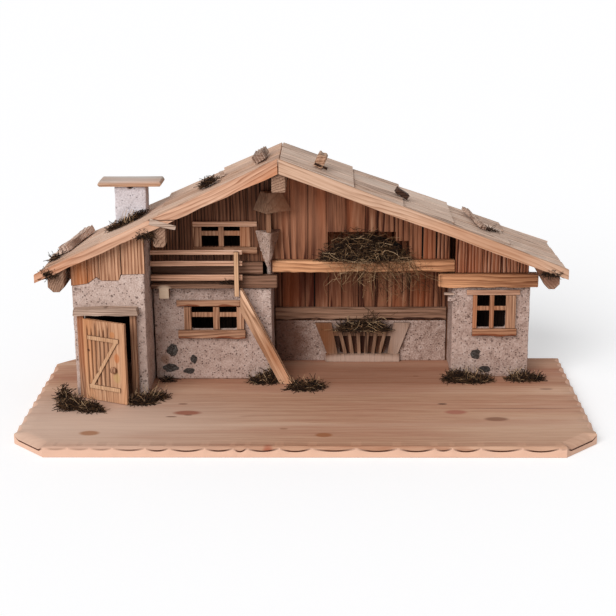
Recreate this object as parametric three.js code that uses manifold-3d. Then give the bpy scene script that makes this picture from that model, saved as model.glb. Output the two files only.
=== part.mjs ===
// An alpine nativity stable on its base board, in millimetres.
// +X runs to the right, +Y away from the viewer and +Z up.
// The origin is the middle of the base board's underside, and every height is counted from there.

import * as THREE from 'three';
import { mergeVertices } from 'three/addons/utils/BufferGeometryUtils.js';
import Module from 'manifold-3d';

const wasm = await Module();
wasm.setup();

// Base board
const BASE_WIDTH = 720;
const BASE_DEPTH = 340;
const BASE_THICKNESS = 14;
const FRONT_CORNER_CUT = 44;
const BACK_LEFT_CORNER_CUT = 26;

// Clearances
const CUT_GAP = 0.3;
const PIN_CLEARANCE = 0.1;
const PIN_SEAT_CLEARANCE = 0.025;
const DOOR_CLEARANCE = 0.3;
const DOOR_FLOOR_GAP = 0.8;
const DOOR_HEAD_GAP = 3.3;

// Walls and trim
const WALL_THICKNESS = 8;
const PLANK_THICKNESS = 5;
const PLANK_SETBACK = 2;
const TRIM_THICKNESS = 4;
const SILL_DEPTH = 7;

// Plan, from left to right
const LEFT_TOWER_X = -306;
const LEFT_TOWER_WIDTH = 97;
const HOUSE_WIDTH = 162;
const BAY_WIDTH = 244;
const RIGHT_TOWER_WIDTH = 107;

// Plan, from front to back
const LEFT_TOWER_FRONT = 10;
const HOUSE_FRONT = 77;
const RIGHT_TOWER_FRONT = 87;
const BACK_PANEL_INSET = 2;
const BACK_PANEL_THICKNESS = 6;
const BACK_PLASTER_THICKNESS = 4;

// Heights
const LOFT_BEAM_BOTTOM = 163;
const LOFT_BEAM_HEIGHT = 19;
const LOFT_BEAM_DEPTH = 12;
const LOFT_BEAM_FRONT = 80;
const LOFT_RIGHT_END = 3;
const LOFT_PLANKS_SETBACK = 7;
const LOFT_PLANKS_SHORT = 5;
const LOWER_LOG_HEIGHT = 19;
const LOWER_LOG_PROUD = 5;
const LOWER_LOG_OVERHANG = 8;
const UPPER_LOG_HEIGHT = 18;
const UPPER_LOG_PROUD = 3;
const UPPER_LOG_SHORT = 11;
const PLATE_BEAM_HEIGHT = 21;
const PLATE_BEAM_PROUD = 9;
const PLATE_BEAM_LEFT = 20;
const PLATE_BEAM_RIGHT = 9;
const RIGHT_GABLE_SHORT = 4.3;

// Roof
const RIDGE_OFFSET = 13.6;
const EAVE_ABOVE_BEAM = 37.6;
const LEFT_PITCH = 25.34;
const RIGHT_PITCH = 21.28;
const LEFT_OVERHANG = 44.2;
const RIGHT_OVERHANG = 33.6;
const ROOF_FRONT = -8;
const BARGE_THICKNESS = 6;
const BARGE_PROUD = 3.5;
const BARGE_RIDGE_HEIGHT = 20;
const LEFT_BARGE_EAVE_HEIGHT = 12;
const RIGHT_BARGE_EAVE_HEIGHT = 14;
const BARGE_WANE = 0.8;
const SCARF_UPPER = 131.6;
const SCARF_LENGTH = 35;
const PLANK_LAYER = 4;
const LEFT_COURSES = [0.25, 0.5, 0.75, 1];
const RIGHT_COURSES = [0.265, 0.43, 0.61, 0.805, 1];
const PLANKS_PER_COURSE = 4;
const PLANK_END_SPREAD = 4;
const PLANK_LIFT_SPREAD = 1;
const LEFT_FRONT_PLANK_LONGER = 3;

// Purlins
const RIDGE_PURLIN_WIDTH = 18.7;
const RIDGE_PURLIN_HEIGHT = 27.8;
const MIDDLE_PURLIN_OFFSET = 13.7;
const MIDDLE_PURLIN_WIDTH = 17;
const MIDDLE_PURLIN_HEIGHT = 26.8;
const MIDDLE_PURLIN_LENGTH = 18;
const EAVE_PURLIN_OFFSET = 5.5;
const EAVE_PURLIN_WIDTH = 22.8;
const EAVE_PURLIN_HEIGHT = 20.6;
const RIGHT_PURLIN_OFFSET = 1.8;
const RIGHT_PURLIN_WIDTH = 21.6;
const RIGHT_PURLIN_HEIGHT = 19.6;
const RIGHT_PURLIN_LENGTH = 88;
const LOG_CHAMFER = 7;
const STUB_CHAMFER = 3;

// Door of the left tower
const JAMB_WIDTH = 9;
const JAMB_THICKNESS = 7;
const DOORWAY_LEFT = 15.5;
const DOORWAY_WIDTH = 60;
const DOORWAY_HEIGHT = 114;
const LINTEL_HEIGHT = 11.5;
const LINTEL_THICKNESS = 14;
const LINTEL_OVERHANG = 4;
const LINTEL_WANE = 2;
const LEAF_WIDTH = 64;
const LEAF_THICKNESS = 5;
const LEAF_AJAR = 25;
const PIN_RADIUS = 0.8;
const PIN_EDGE = 2.5;
const PIN_SEAT_DEPTH = 5;
const BRACE_THICKNESS = 2;
const BRACE_WIDTH = 6;
const BRACE_LENGTH = 48;
const BRACE_EDGE = 5;
const BRACE_LOW = 16;
const BRACE_HIGH = 83;
const KNOB_RADIUS = 5;
const KNOB_LENGTH = 5;
const KNOB_FROM_PIN = 44.5;
const KNOB_HEIGHT = 61;

// Uneven plaster edge of the left tower's front, as shares of its width and of the edge's rise
const PLASTER_EDGE_BOTTOM = 165;
const PLASTER_EDGE_RISE = 16;
const PLASTER_EDGE = [[0, 0], [0.22, 0.19], [0.35, 0.75], [0.41, 0.44], [0.65, 0.44], [0.67, 0.94], [1, 1]];

// Windows: the opening counts from the wall's right end, and its foot from the top of the plaster or log
const LOWER_WINDOW = {
  fromRight: 109.6, width: 61.2, foot: -57.5, height: 32, leftJamb: 10.4, rightJamb: 10.4,
  lintelHeight: 9.8, lintelLeft: 20.5, lintelRight: 5.4, sillHeight: 13.5, sillLeft: 19, sillRight: 12.4,
  mullionLeft: 29.2, mullionWidth: 8.9, barLow: 17.5, barHeight: 7,
};
const UPPER_WINDOW = {
  fromRight: 93, width: 51.2, foot: 21, height: 27.5, leftJamb: 12, rightJamb: 14.5,
  lintelHeight: 7.5, lintelLeft: 12, lintelRight: 23.5, sillHeight: 10, sillLeft: 12, sillRight: 23.5,
  mullionLeft: 22.5, mullionWidth: 7.3, barLow: 15, barHeight: 7,
};
const RIGHT_WINDOW = {
  fromRight: 72.6, width: 38.6, foot: -57, height: 47, leftJamb: 6.2, rightJamb: 14,
  lintelHeight: 7.5, lintelLeft: 14.9, lintelRight: 19.5, sillHeight: 11.5, sillLeft: 6.4, sillRight: 16,
  mullionLeft: 16.6, mullionWidth: 6.5, barLow: 25, barHeight: 6.5,
};

// Balcony and stair
const BALCONY_DEPTH = 17;
const BALCONY_RAIL_THICKNESS = 4;
const BALCONY_RAIL_SHORT = 38;
const BALCONY_RAIL_BELOW = 4;
const BOTTOM_RAIL = { foot: 0, height: 8.3 };
const MIDDLE_RAIL = { foot: 19.9, height: 7.4 };
const TOP_RAIL = { foot: 35.4, height: 6.9 };
const BALCONY_POST_FROM_CORNER = 49.5;
const BALCONY_POST_WIDTH = 6.9;
const BALCONY_POST_THICKNESS = 6;
const BALCONY_POST_BELOW = 25;
const BALCONY_POST_ABOVE = 37;
const BALCONY_FLOOR_BELOW = 15;
const BALCONY_FLOOR_THICKNESS = 6;
const BALCONY_BEAM_X = 11;
const BALCONY_BEAM_WIDTH = 13.5;
const BALCONY_BEAM_BELOW = 29;
const STAIR_FOOT_PAST_CORNER = 18.5;
const STAIR_PITCH = 63.3;
const STAIR_HEAD_GAP = 1;
const STRINGER_WIDTH = 16;
const STRINGER_THICKNESS = 4;
const STAIR_WIDTH = 14.7;
const TREAD_COUNT = 6;
const TREAD_DEPTH = 11;
const TREAD_THICKNESS = 2.5;

// Corner oriel
const ORIEL_TURN = 11;
const CORBEL_LEFT = [-25.5, 2];
const CORBEL_FRONT = [1, -27];
const CORBEL_RIGHT = [13, -12];
const CORBEL_BACK = [13, 8];
const CORBEL_TIP = [-5, -5];
const CORBEL_TIP_RISE = 4;
const CORBEL_TOP_RISE = 62;
const ORIEL_POST = [-2.5, -18];
const ORIEL_POST_WIDTH = 6;
const ORIEL_POST_HEIGHT = 27;
const ORIEL_ROOF_REACH = 28.5;
const ORIEL_ROOF_TOP_REACH = 16;
const ORIEL_ROOF_HEIGHT = 26;

// Back wall of the stable and its hay rack
const BACK_RAIL_BOTTOM = 74;
const BACK_RAIL_HEIGHT = 20;
const BACK_RAIL_THICKNESS = 6;
const RACK_OFF_CENTRE = 2.5;
const RACK_THICKNESS = 4;
const RACK_SILL_LENGTH = 106;
const RACK_SILL_HEIGHT = 12;
const RACK_SILL_THICKNESS = 6;
const RACK_BOARD_TOP = 72;
const RACK_BOARD_WIDTH = 24;
const RACK_BOARD_FOOT = 15.5;
const RACK_TOP_HALF = 44;
const RACK_FOOT_HALF = 35;
const SLAT_COUNT = 6;
const SLAT_WIDTH = 5.5;
const SLAT_TOP = 62;
const SLAT_TOP_SPREAD = 66;
const SLAT_FOOT_SPREAD = 48;
const SLAT_THICKNESS = 2.5;
const RACK_RAIL_BOTTOM = 51.5;
const RACK_RAIL_HEIGHT = 7.5;
const HOLLOW_HALF = 31;
const HOLLOW_TOP = 66;

// Hatch in the plank wall of the loft, with a lower step at its right
const HATCH_OFF_CENTRE = -0.8;
const HATCH_WIDTH = 91.6;
const HATCH_HEIGHT = 37.5;
const HATCH_STEP_WIDTH = 18.4;
const HATCH_STEP_HEIGHT = 25;

// Hay
const LOFT_HAY_OFF_CENTRE = 7.5;
const LOFT_HAY_LENGTH = 128;
const LOFT_HAY_DEPTH = 28;
const LOFT_HAY_HEIGHT = 39;
const LOFT_HAY_PROUD = 1;
const RACK_HAY_LENGTH = 62;
const RACK_HAY_DEPTH = 11;
const RACK_HAY_HEIGHT = 16;
const HAY_LUMP = 0.07;

// Chimney
const CHIMNEY_X = 48;
const CHIMNEY_WIDTH = 43.5;
const CHIMNEY_FRONT = 95;
const CHIMNEY_DEPTH = 30;
const CHIMNEY_BELOW_RIDGE = 51.5;
const CHIMNEY_NOTCH_WIDTH = 9;
const CHIMNEY_NOTCH_DEPTH = 5;
const CAP_LEFT_OVERHANG = 22;
const CAP_RIGHT_OVERHANG = 22;
const CAP_SIDE_OVERHANG = 5;
const CAP_THICKNESS = 8;
const CAP_TAPER = 3;

// Places that follow from the sizes above
const FLOOR = BASE_THICKNESS;
const LEFT_TOWER_RIGHT = LEFT_TOWER_X + LEFT_TOWER_WIDTH;
const HOUSE_RIGHT = LEFT_TOWER_RIGHT + HOUSE_WIDTH;
const RIGHT_TOWER_X = HOUSE_RIGHT + BAY_WIDTH;
const RIGHT_TOWER_RIGHT = RIGHT_TOWER_X + RIGHT_TOWER_WIDTH;
const BACK = BASE_DEPTH / 2 - BACK_PANEL_INSET - BACK_PANEL_THICKNESS;
const ROOF_BACK = BASE_DEPTH / 2;
const DECK_FRONT = ROOF_FRONT + BARGE_THICKNESS;
const RIDGE_X = HOUSE_RIGHT + RIDGE_OFFSET;
const DOORWAY_TOP = FLOOR + DOORWAY_HEIGHT;
const LOFT_BEAM_TOP = LOFT_BEAM_BOTTOM + LOFT_BEAM_HEIGHT;
const LOFT_PLANKS_FRONT = LOFT_BEAM_FRONT + LOFT_PLANKS_SETBACK;
const HOUSE_WALL_TOP = LOFT_BEAM_BOTTOM - LOWER_LOG_HEIGHT;
const UPPER_LOG_TOP = LOFT_BEAM_BOTTOM + UPPER_LOG_HEIGHT;
const PLATE_BEAM_BOTTOM = LOFT_BEAM_BOTTOM - PLATE_BEAM_HEIGHT;
const LEFT_SLOPE = { side: -1, tan: Math.tan(THREE.MathUtils.degToRad(LEFT_PITCH)), courses: LEFT_COURSES };
const RIGHT_SLOPE = { side: 1, tan: Math.tan(THREE.MathUtils.degToRad(RIGHT_PITCH)), courses: RIGHT_COURSES };
const RIDGE_HEIGHT = LOFT_BEAM_BOTTOM + EAVE_ABOVE_BEAM + RIGHT_SLOPE.tan * (RIGHT_TOWER_RIGHT - RIDGE_X);
const BALCONY_FLOOR_BOTTOM = LOFT_BEAM_BOTTOM - BALCONY_FLOOR_BELOW;
const BALCONY_POST_X = HOUSE_WIDTH - BALCONY_POST_FROM_CORNER;
const CORBEL_TOP = LOFT_BEAM_BOTTOM + CORBEL_TOP_RISE;
const RACK_CENTRE = BAY_WIDTH / 2 + RACK_OFF_CENTRE;
const CHIMNEY_TOP = RIDGE_HEIGHT - CHIMNEY_BELOW_RIDGE;
LEFT_SLOPE.reach = RIDGE_X - LEFT_TOWER_X + LEFT_OVERHANG;
RIGHT_SLOPE.reach = RIGHT_TOWER_RIGHT + RIGHT_OVERHANG - RIDGE_X;
LEFT_SLOPE.frontPlankLonger = LEFT_FRONT_PLANK_LONGER;
RIGHT_SLOPE.frontPlankLonger = 0;

// Height of a roof plane at a distance out from the ridge, with a drop measured straight down from it
function slopeHeight(slope, out, drop) {
  return RIDGE_HEIGHT - out * slope.tan - drop;
}

// The plank layers are measured square to the slope, and stand this much taller when measured straight up
function upright(slope, thickness) {
  return thickness * Math.hypot(1, slope.tan);
}

function slopeAt(x) {
  return x < RIDGE_X ? LEFT_SLOPE : RIGHT_SLOPE;
}

// Underside of the roof planks at a place across the building
function roofUnder(x) {
  const slope = slopeAt(x);
  return slopeHeight(slope, Math.abs(x - RIDGE_X), upright(slope, 2 * PLANK_LAYER)) - CUT_GAP;
}

// Height and place of a point of a slope, as the front view shows it
function slopePoint(slope, out, drop) {
  return [RIDGE_X + slope.side * out, slopeHeight(slope, out, drop)];
}

// A repeatable scatter between 0 and 1, for lengths that were cut by hand
function scatter(n) {
  const wave = Math.sin(n * 12.9898) * 43758.5453;
  return wave - Math.floor(wave);
}

function block(x0, x1, y0, y1, z0, z1) {
  const geometry = new THREE.BoxGeometry(x1 - x0, y1 - y0, z1 - z0);
  return geometry.translate((x0 + x1) / 2, (y0 + y1) / 2, (z0 + z1) / 2);
}

function shapeOf(outline) {
  return new THREE.Shape(outline.map(([a, b]) => new THREE.Vector2(a, b)));
}

// A board whose outline is drawn in the front view, from y0 back to y1
function frontBoard(outline, y0, y1, holes = []) {
  const shape = shapeOf(outline);
  shape.holes = holes.map(shapeOf);
  const geometry = new THREE.ExtrudeGeometry(shape, { depth: y1 - y0, bevelEnabled: false });
  geometry.rotateX(Math.PI / 2);
  return geometry.translate(0, y1, 0);
}

function rectangle(x0, x1, z0, z1) {
  return [[x0, z0], [x1, z0], [x1, z1], [x0, z1]];
}

function solidOf(geometry) {
  const bare = geometry.clone();
  bare.deleteAttribute('normal');
  bare.deleteAttribute('uv');
  const merged = mergeVertices(bare);
  const mesh = new wasm.Mesh({
    numProp: 3,
    vertProperties: Float32Array.from(merged.attributes.position.array),
    triVerts: Uint32Array.from(merged.index.array),
  });
  return new wasm.Manifold(mesh);
}

function geometryOf(solid) {
  const mesh = solid.getMesh();
  const geometry = new THREE.BufferGeometry();
  geometry.setAttribute('position', new THREE.BufferAttribute(mesh.vertProperties, mesh.numProp));
  geometry.setIndex(new THREE.BufferAttribute(mesh.triVerts, 1));
  return geometry;
}

function join(geometries) {
  return geometryOf(geometries.map(solidOf).reduce((whole, part) => whole.add(part)));
}

function cut(geometry, tools) {
  return geometryOf(tools.map(solidOf).reduce((whole, tool) => whole.subtract(tool), solidOf(geometry)));
}

function makeFinish(color, roughness) {
  return () => new THREE.MeshStandardMaterial({ color, roughness, metalness: 0 });
}

const palePine = makeFinish(0xc99a78, 0.7);
const agedWood = makeFinish(0xa98567, 0.8);
const darkWood = makeFinish(0x6b442c, 0.8);
const goldenWood = makeFinish(0xc08a58, 0.7);
const greyWood = makeFinish(0xa8998a, 0.85);
const plaster = makeFinish(0xa9a09c, 0.95);
const paleLime = makeFinish(0xdfdee6, 0.95);
const hay = makeFinish(0x6e6138, 1);
const wire = () => new THREE.MeshStandardMaterial({ color: 0x8d8d8d, roughness: 0.4, metalness: 0.9 });

function piece(name, geometry, finish) {
  const mesh = new THREE.Mesh(geometry, finish());
  mesh.name = name;
  return mesh;
}

function groupAt(x, y, z, pieces) {
  const group = new THREE.Group();
  group.position.set(x, y, z);
  group.add(...pieces);
  return group;
}

// The flat board that everything stands on, with its corners cut off. The hinge pin stands in it.
function makeBase() {
  const halfWidth = BASE_WIDTH / 2;
  const halfDepth = BASE_DEPTH / 2;
  const outline = [
    [-halfWidth + FRONT_CORNER_CUT, -halfDepth],
    [halfWidth - FRONT_CORNER_CUT, -halfDepth],
    [halfWidth, -halfDepth + FRONT_CORNER_CUT],
    [halfWidth, halfDepth],
    [-halfWidth + BACK_LEFT_CORNER_CUT, halfDepth],
    [-halfWidth, halfDepth - BACK_LEFT_CORNER_CUT],
    [-halfWidth, -halfDepth + FRONT_CORNER_CUT],
  ];
  const board = new THREE.ExtrudeGeometry(shapeOf(outline), { depth: BASE_THICKNESS, bevelEnabled: false });
  const seat = pinHole(FLOOR - PIN_SEAT_DEPTH, FLOOR + PIN_SEAT_DEPTH, 0);
  seat.translate(LEFT_TOWER_X + HINGE_X, LEFT_TOWER_FRONT + HINGE_Y, 0);
  return piece('base_board', cut(board, [seat]), palePine);
}

// The hinge axis, counted from the front left corner of the left tower
const JAMB_FRONT = -JAMB_THICKNESS;
const HINGE_X = DOORWAY_LEFT + PIN_EDGE + PIN_CLEARANCE;
const HINGE_Y = JAMB_FRONT - DOOR_CLEARANCE - LEAF_THICKNESS / 2;
const LEAF_BOTTOM = FLOOR + DOOR_FLOOR_GAP;
const LEAF_TOP = DOORWAY_TOP - DOOR_HEAD_GAP;

function pinHole(z0, z1, clearance) {
  const hole = new THREE.CylinderGeometry(PIN_RADIUS + clearance, PIN_RADIUS + clearance, z1 - z0, 16);
  hole.rotateX(Math.PI / 2);
  return hole.translate(0, 0, (z0 + z1) / 2);
}

// Plastered front wall with the doorway, and the plank gable that rises from its uneven plaster edge
function makeLeftTowerFront() {
  const doorwayRight = DOORWAY_LEFT + DOORWAY_WIDTH;
  const edge = PLASTER_EDGE.map(([across, up]) => [
    across * LEFT_TOWER_WIDTH, PLASTER_EDGE_BOTTOM + up * PLASTER_EDGE_RISE,
  ]);
  const wall = [
    [0, FLOOR], [DOORWAY_LEFT, FLOOR], [DOORWAY_LEFT, DOORWAY_TOP],
    [doorwayRight, DOORWAY_TOP], [doorwayRight, FLOOR], [LEFT_TOWER_WIDTH, FLOOR],
    ...edge.slice().reverse(),
  ];
  const gable = [
    ...edge.map(([x, z]) => [x, z + CUT_GAP]),
    [LEFT_TOWER_WIDTH, roofUnder(LEFT_TOWER_RIGHT)],
    [0, roofUnder(LEFT_TOWER_X)],
  ];
  return [
    piece('left_tower_front_wall', frontBoard(wall, 0, WALL_THICKNESS), plaster),
    piece('left_tower_planks', frontBoard(gable, PLANK_SETBACK, PLANK_SETBACK + PLANK_THICKNESS), agedWood),
  ];
}

// A side wall that runs from behind the front wall to the back panel, with its top cut by the roof
function makeSideWall(name, x0, x1, worldX, y0, y1) {
  const outline = [[x0, FLOOR], [x1, FLOOR], [x1, roofUnder(worldX + x1)], [x0, roofUnder(worldX + x0)]];
  return piece(name, frontBoard(outline, y0, y1), plaster);
}

function makeDoorFrame() {
  const jambTop = DOORWAY_TOP;
  const outer = DOORWAY_LEFT + DOORWAY_WIDTH;
  const lintelLeft = DOORWAY_LEFT - JAMB_WIDTH - LINTEL_OVERHANG;
  const lintelRight = outer + JAMB_WIDTH + LINTEL_OVERHANG;
  const lintelTop = jambTop + LINTEL_HEIGHT;
  const middle = (lintelLeft + lintelRight) / 2;
  const lintel = frontBoard([
    [lintelLeft, jambTop], [lintelRight, jambTop], [lintelRight - LINTEL_WANE, lintelTop - LINTEL_WANE / 2],
    [middle, lintelTop], [lintelLeft + LINTEL_WANE / 2, lintelTop - LINTEL_WANE],
  ], -LINTEL_THICKNESS, 0);
  const seat = pinHole(jambTop - PIN_SEAT_DEPTH, jambTop + PIN_SEAT_DEPTH, 0);
  seat.translate(HINGE_X, HINGE_Y, 0);
  return [
    piece('door_lintel', cut(lintel, [seat]), agedWood),
    piece('door_jamb_left',
      block(DOORWAY_LEFT - JAMB_WIDTH, DOORWAY_LEFT, JAMB_FRONT, 0, FLOOR, jambTop), goldenWood),
    piece('door_jamb_right', block(outer, outer + JAMB_WIDTH, JAMB_FRONT, 0, FLOOR, jambTop), goldenWood),
  ];
}

// The leaf, its Z brace and its knob turn together on the pin. The group's origin is the hinge axis.
function makeDoor() {
  const back = LEAF_THICKNESS / 2;
  const front = -back;
  const leafBoard = block(-PIN_EDGE, LEAF_WIDTH - PIN_EDGE, front, back, LEAF_BOTTOM, LEAF_TOP);
  const bore = pinHole(FLOOR, DOORWAY_TOP, PIN_CLEARANCE);
  const left = BRACE_EDGE;
  const right = BRACE_EDGE + BRACE_LENGTH;
  const low = LEAF_BOTTOM + BRACE_LOW;
  const high = LEAF_BOTTOM + BRACE_HIGH;
  const face = front - BRACE_THICKNESS;
  const brace = join([
    block(left, right, face, front, low, low + BRACE_WIDTH),
    block(left, right, face, front, high, high + BRACE_WIDTH),
    frontBoard([
      [left, low + BRACE_WIDTH / 2], [left + BRACE_WIDTH, low + BRACE_WIDTH / 2],
      [right, high + BRACE_WIDTH / 2], [right - BRACE_WIDTH, high + BRACE_WIDTH / 2],
    ], face, front),
  ]);
  const door = groupAt(HINGE_X, HINGE_Y, 0, [
    piece('door_leaf', cut(leafBoard, [bore]), goldenWood),
    piece('door_brace', brace, goldenWood),
    piece('door_knob', makeKnob(front), agedWood),
  ]);
  door.rotation.z = -THREE.MathUtils.degToRad(LEAF_AJAR);
  return door;
}

function makeKnob(front) {
  const profile = [[0, 0], [0.6, 0], [0.55, 0.35], [0.95, 0.6], [0.9, 0.9], [0, 1]];
  const points = profile.map(([r, h]) => new THREE.Vector2(r * KNOB_RADIUS, h * KNOB_LENGTH));
  const knob = new THREE.LatheGeometry(points, 12);
  knob.rotateX(Math.PI);
  return knob.translate(KNOB_FROM_PIN, front, KNOB_HEIGHT);
}

// The wire that the leaf turns on, let into the lintel and the base board
function makeHingePin() {
  const bottom = FLOOR - PIN_SEAT_DEPTH + CUT_GAP;
  const top = DOORWAY_TOP + PIN_SEAT_DEPTH - CUT_GAP;
  const pin = pinHole(bottom, top, -PIN_SEAT_CLEARANCE);
  return piece('door_hinge_pin', pin.translate(HINGE_X, HINGE_Y, 0), wire);
}

function makeLeftTower() {
  const depth = BACK - LEFT_TOWER_FRONT;
  return groupAt(LEFT_TOWER_X, LEFT_TOWER_FRONT, 0, [
    ...makeLeftTowerFront(),
    makeSideWall('left_tower_left_wall', 0, WALL_THICKNESS, LEFT_TOWER_X, WALL_THICKNESS, depth),
    makeSideWall('left_tower_right_wall', LEFT_TOWER_WIDTH - WALL_THICKNESS, LEFT_TOWER_WIDTH, LEFT_TOWER_X,
      WALL_THICKNESS, depth),
    ...makeDoorFrame(),
    makeHingePin(),
    makeDoor(),
  ]);
}

// The opening of a window in the wall that it belongs to, as its edges in the front view
function openingOf(w, wallWidth, datum) {
  const left = wallWidth - w.fromRight;
  return { ...w, left, bottom: datum + w.foot };
}

// Lintel, sill and the glued casement of jambs and cross. The wall's outer face is at y = face.
function makeWindow(prefix, w, face, frameWood, lintelWood) {
  const right = w.left + w.width;
  const top = w.bottom + w.height;
  const front = face - TRIM_THICKNESS;
  const crossFront = face - TRIM_THICKNESS / 2;
  const inset = TRIM_THICKNESS / 4;
  const bar = w.bottom + w.barLow;
  const mullion = w.left + w.mullionLeft;
  const casement = join([
    block(w.left - w.leftJamb, w.left, front, face, w.bottom, top),
    block(right, right + w.rightJamb, front, face, w.bottom, top),
    block(w.left - inset, right + inset, crossFront, face, bar, bar + w.barHeight),
    block(mullion, mullion + w.mullionWidth, crossFront - inset, face, w.bottom, top),
  ]);
  const lintelRight = right + w.lintelRight;
  const sillLeft = w.left - w.sillLeft;
  const sillRight = right + w.sillRight;
  return [
    piece(`${prefix}_window_lintel`,
      block(w.left - w.lintelLeft, lintelRight, front, face, top, top + w.lintelHeight), lintelWood),
    piece(`${prefix}_window_sill`,
      block(sillLeft, sillRight, face - SILL_DEPTH, face, w.bottom - w.sillHeight, w.bottom),
      lintelWood),
    piece(`${prefix}_window_casement`, casement, frameWood),
  ];
}

function windowHole(w) {
  return rectangle(w.left, w.left + w.width, w.bottom, w.bottom + w.height);
}

function makeHouse() {
  const depth = BACK - HOUSE_FRONT;
  const wall = rectangle(0, HOUSE_WIDTH, FLOOR, HOUSE_WALL_TOP);
  const lowerWindow = openingOf(LOWER_WINDOW, HOUSE_WIDTH, HOUSE_WALL_TOP);
  const upperWindow = openingOf(UPPER_WINDOW, HOUSE_WIDTH, UPPER_LOG_TOP);
  const planksFront = PLANK_SETBACK / 2;
  const gable = [
    [CUT_GAP, UPPER_LOG_TOP], [HOUSE_WIDTH, UPPER_LOG_TOP],
    [HOUSE_WIDTH, roofUnder(HOUSE_RIGHT)], [CUT_GAP, roofUnder(LEFT_TOWER_RIGHT)],
  ];
  const planks = frontBoard(gable, planksFront, planksFront + PLANK_THICKNESS, [windowHole(upperWindow)]);
  const logBack = WALL_THICKNESS - CUT_GAP;
  const lowerRight = HOUSE_WIDTH + LOWER_LOG_OVERHANG;
  const upperRight = HOUSE_WIDTH - UPPER_LOG_SHORT;
  return groupAt(LEFT_TOWER_RIGHT, HOUSE_FRONT, 0, [
    piece('house_front_wall', frontBoard(wall, 0, WALL_THICKNESS, [windowHole(lowerWindow)]), plaster),
    makeSideWall('house_right_wall', HOUSE_WIDTH - WALL_THICKNESS, HOUSE_WIDTH, LEFT_TOWER_RIGHT,
      WALL_THICKNESS, depth),
    piece('house_lower_log',
      block(CUT_GAP, lowerRight, -LOWER_LOG_PROUD, logBack, HOUSE_WALL_TOP, LOFT_BEAM_BOTTOM),
      agedWood),
    piece('house_upper_log',
      block(CUT_GAP, upperRight, -UPPER_LOG_PROUD, logBack, LOFT_BEAM_BOTTOM, UPPER_LOG_TOP),
      agedWood),
    piece('house_planks', planks, darkWood),
    ...makeWindow('lower', lowerWindow, 0, agedWood, goldenWood),
    ...makeWindow('upper', upperWindow, planksFront, agedWood, agedWood),
    makeBalcony(),
    makeStair(),
    makeOriel(),
  ]);
}

// The balcony hangs between the left tower and its one post, in front of the logs
function makeBalcony() {
  const front = -BALCONY_DEPTH;
  const back = -LOWER_LOG_PROUD;
  const floorTop = BALCONY_FLOOR_BOTTOM + BALCONY_FLOOR_THICKNESS;
  const beamBottom = LOFT_BEAM_BOTTOM - BALCONY_BEAM_BELOW;
  const railRight = HOUSE_WIDTH - BALCONY_RAIL_SHORT;
  const postRight = BALCONY_POST_X + BALCONY_POST_WIDTH;
  const beamRight = BALCONY_BEAM_X + BALCONY_BEAM_WIDTH;
  const floor = join([
    block(CUT_GAP, postRight, front, back, BALCONY_FLOOR_BOTTOM, floorTop),
    block(BALCONY_BEAM_X, beamRight, front, back, beamBottom, floorTop),
    block(BALCONY_BEAM_X, beamRight, front, 0, beamBottom, HOUSE_WALL_TOP),
  ]);
  const railBack = front + BALCONY_RAIL_THICKNESS;
  const lowest = LOFT_BEAM_BOTTOM - BALCONY_RAIL_BELOW;
  const makeRail = (name, { foot, height }) => piece(name,
    block(CUT_GAP, railRight, front, railBack, lowest + foot, lowest + foot + height), agedWood);
  const rails = [
    makeRail('balcony_rail_bottom', BOTTOM_RAIL),
    makeRail('balcony_rail_middle', MIDDLE_RAIL),
    makeRail('balcony_rail_top', TOP_RAIL),
  ];
  const post = block(BALCONY_POST_X, postRight, front - BALCONY_POST_THICKNESS, front,
    LOFT_BEAM_BOTTOM - BALCONY_POST_BELOW, LOFT_BEAM_BOTTOM + BALCONY_POST_ABOVE);
  return groupAt(0, 0, 0, [
    piece('balcony_floor', floor, agedWood),
    piece('balcony_post', post, agedWood),
    ...rails,
  ]);
}

// Two stringers with treads between them, leaning on the balcony post
function makeStair() {
  const tan = Math.tan(THREE.MathUtils.degToRad(STAIR_PITCH));
  const half = STRINGER_WIDTH / 2 / Math.sin(THREE.MathUtils.degToRad(STAIR_PITCH));
  const top = BALCONY_POST_X + BALCONY_POST_WIDTH + CUT_GAP;
  const foot = HOUSE_WIDTH + STAIR_FOOT_PAST_CORNER;
  const left = foot - half;
  const right = foot + half;
  const head = BALCONY_FLOOR_BOTTOM - STAIR_HEAD_GAP;
  const side = [
    [left, FLOOR], [right, FLOOR],
    [right - (head - FLOOR) / tan, head], [top, head], [top, FLOOR + (left - top) * tan],
  ];
  const back = -LOWER_LOG_PROUD - CUT_GAP;
  const front = back - STAIR_WIDTH;
  const nearBack = front + STRINGER_THICKNESS;
  const farFront = back - STRINGER_THICKNESS;
  const rise = (FLOOR + (left - top) * tan - FLOOR) / TREAD_COUNT;
  const treads = [];
  for (let n = 1; n <= TREAD_COUNT; n += 1) {
    const height = FLOOR + n * rise;
    const middle = foot - (height - FLOOR) / tan;
    treads.push(block(middle - TREAD_DEPTH / 2, middle + TREAD_DEPTH / 2, nearBack, farFront + 1,
      height - TREAD_THICKNESS, height));
  }
  return groupAt(0, 0, 0, [
    piece('stair_near_stringer', frontBoard(side, front, nearBack), agedWood),
    piece('stair_far_stringer', join([frontBoard(side, farFront, back), ...treads]), agedWood),
  ]);
}

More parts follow.
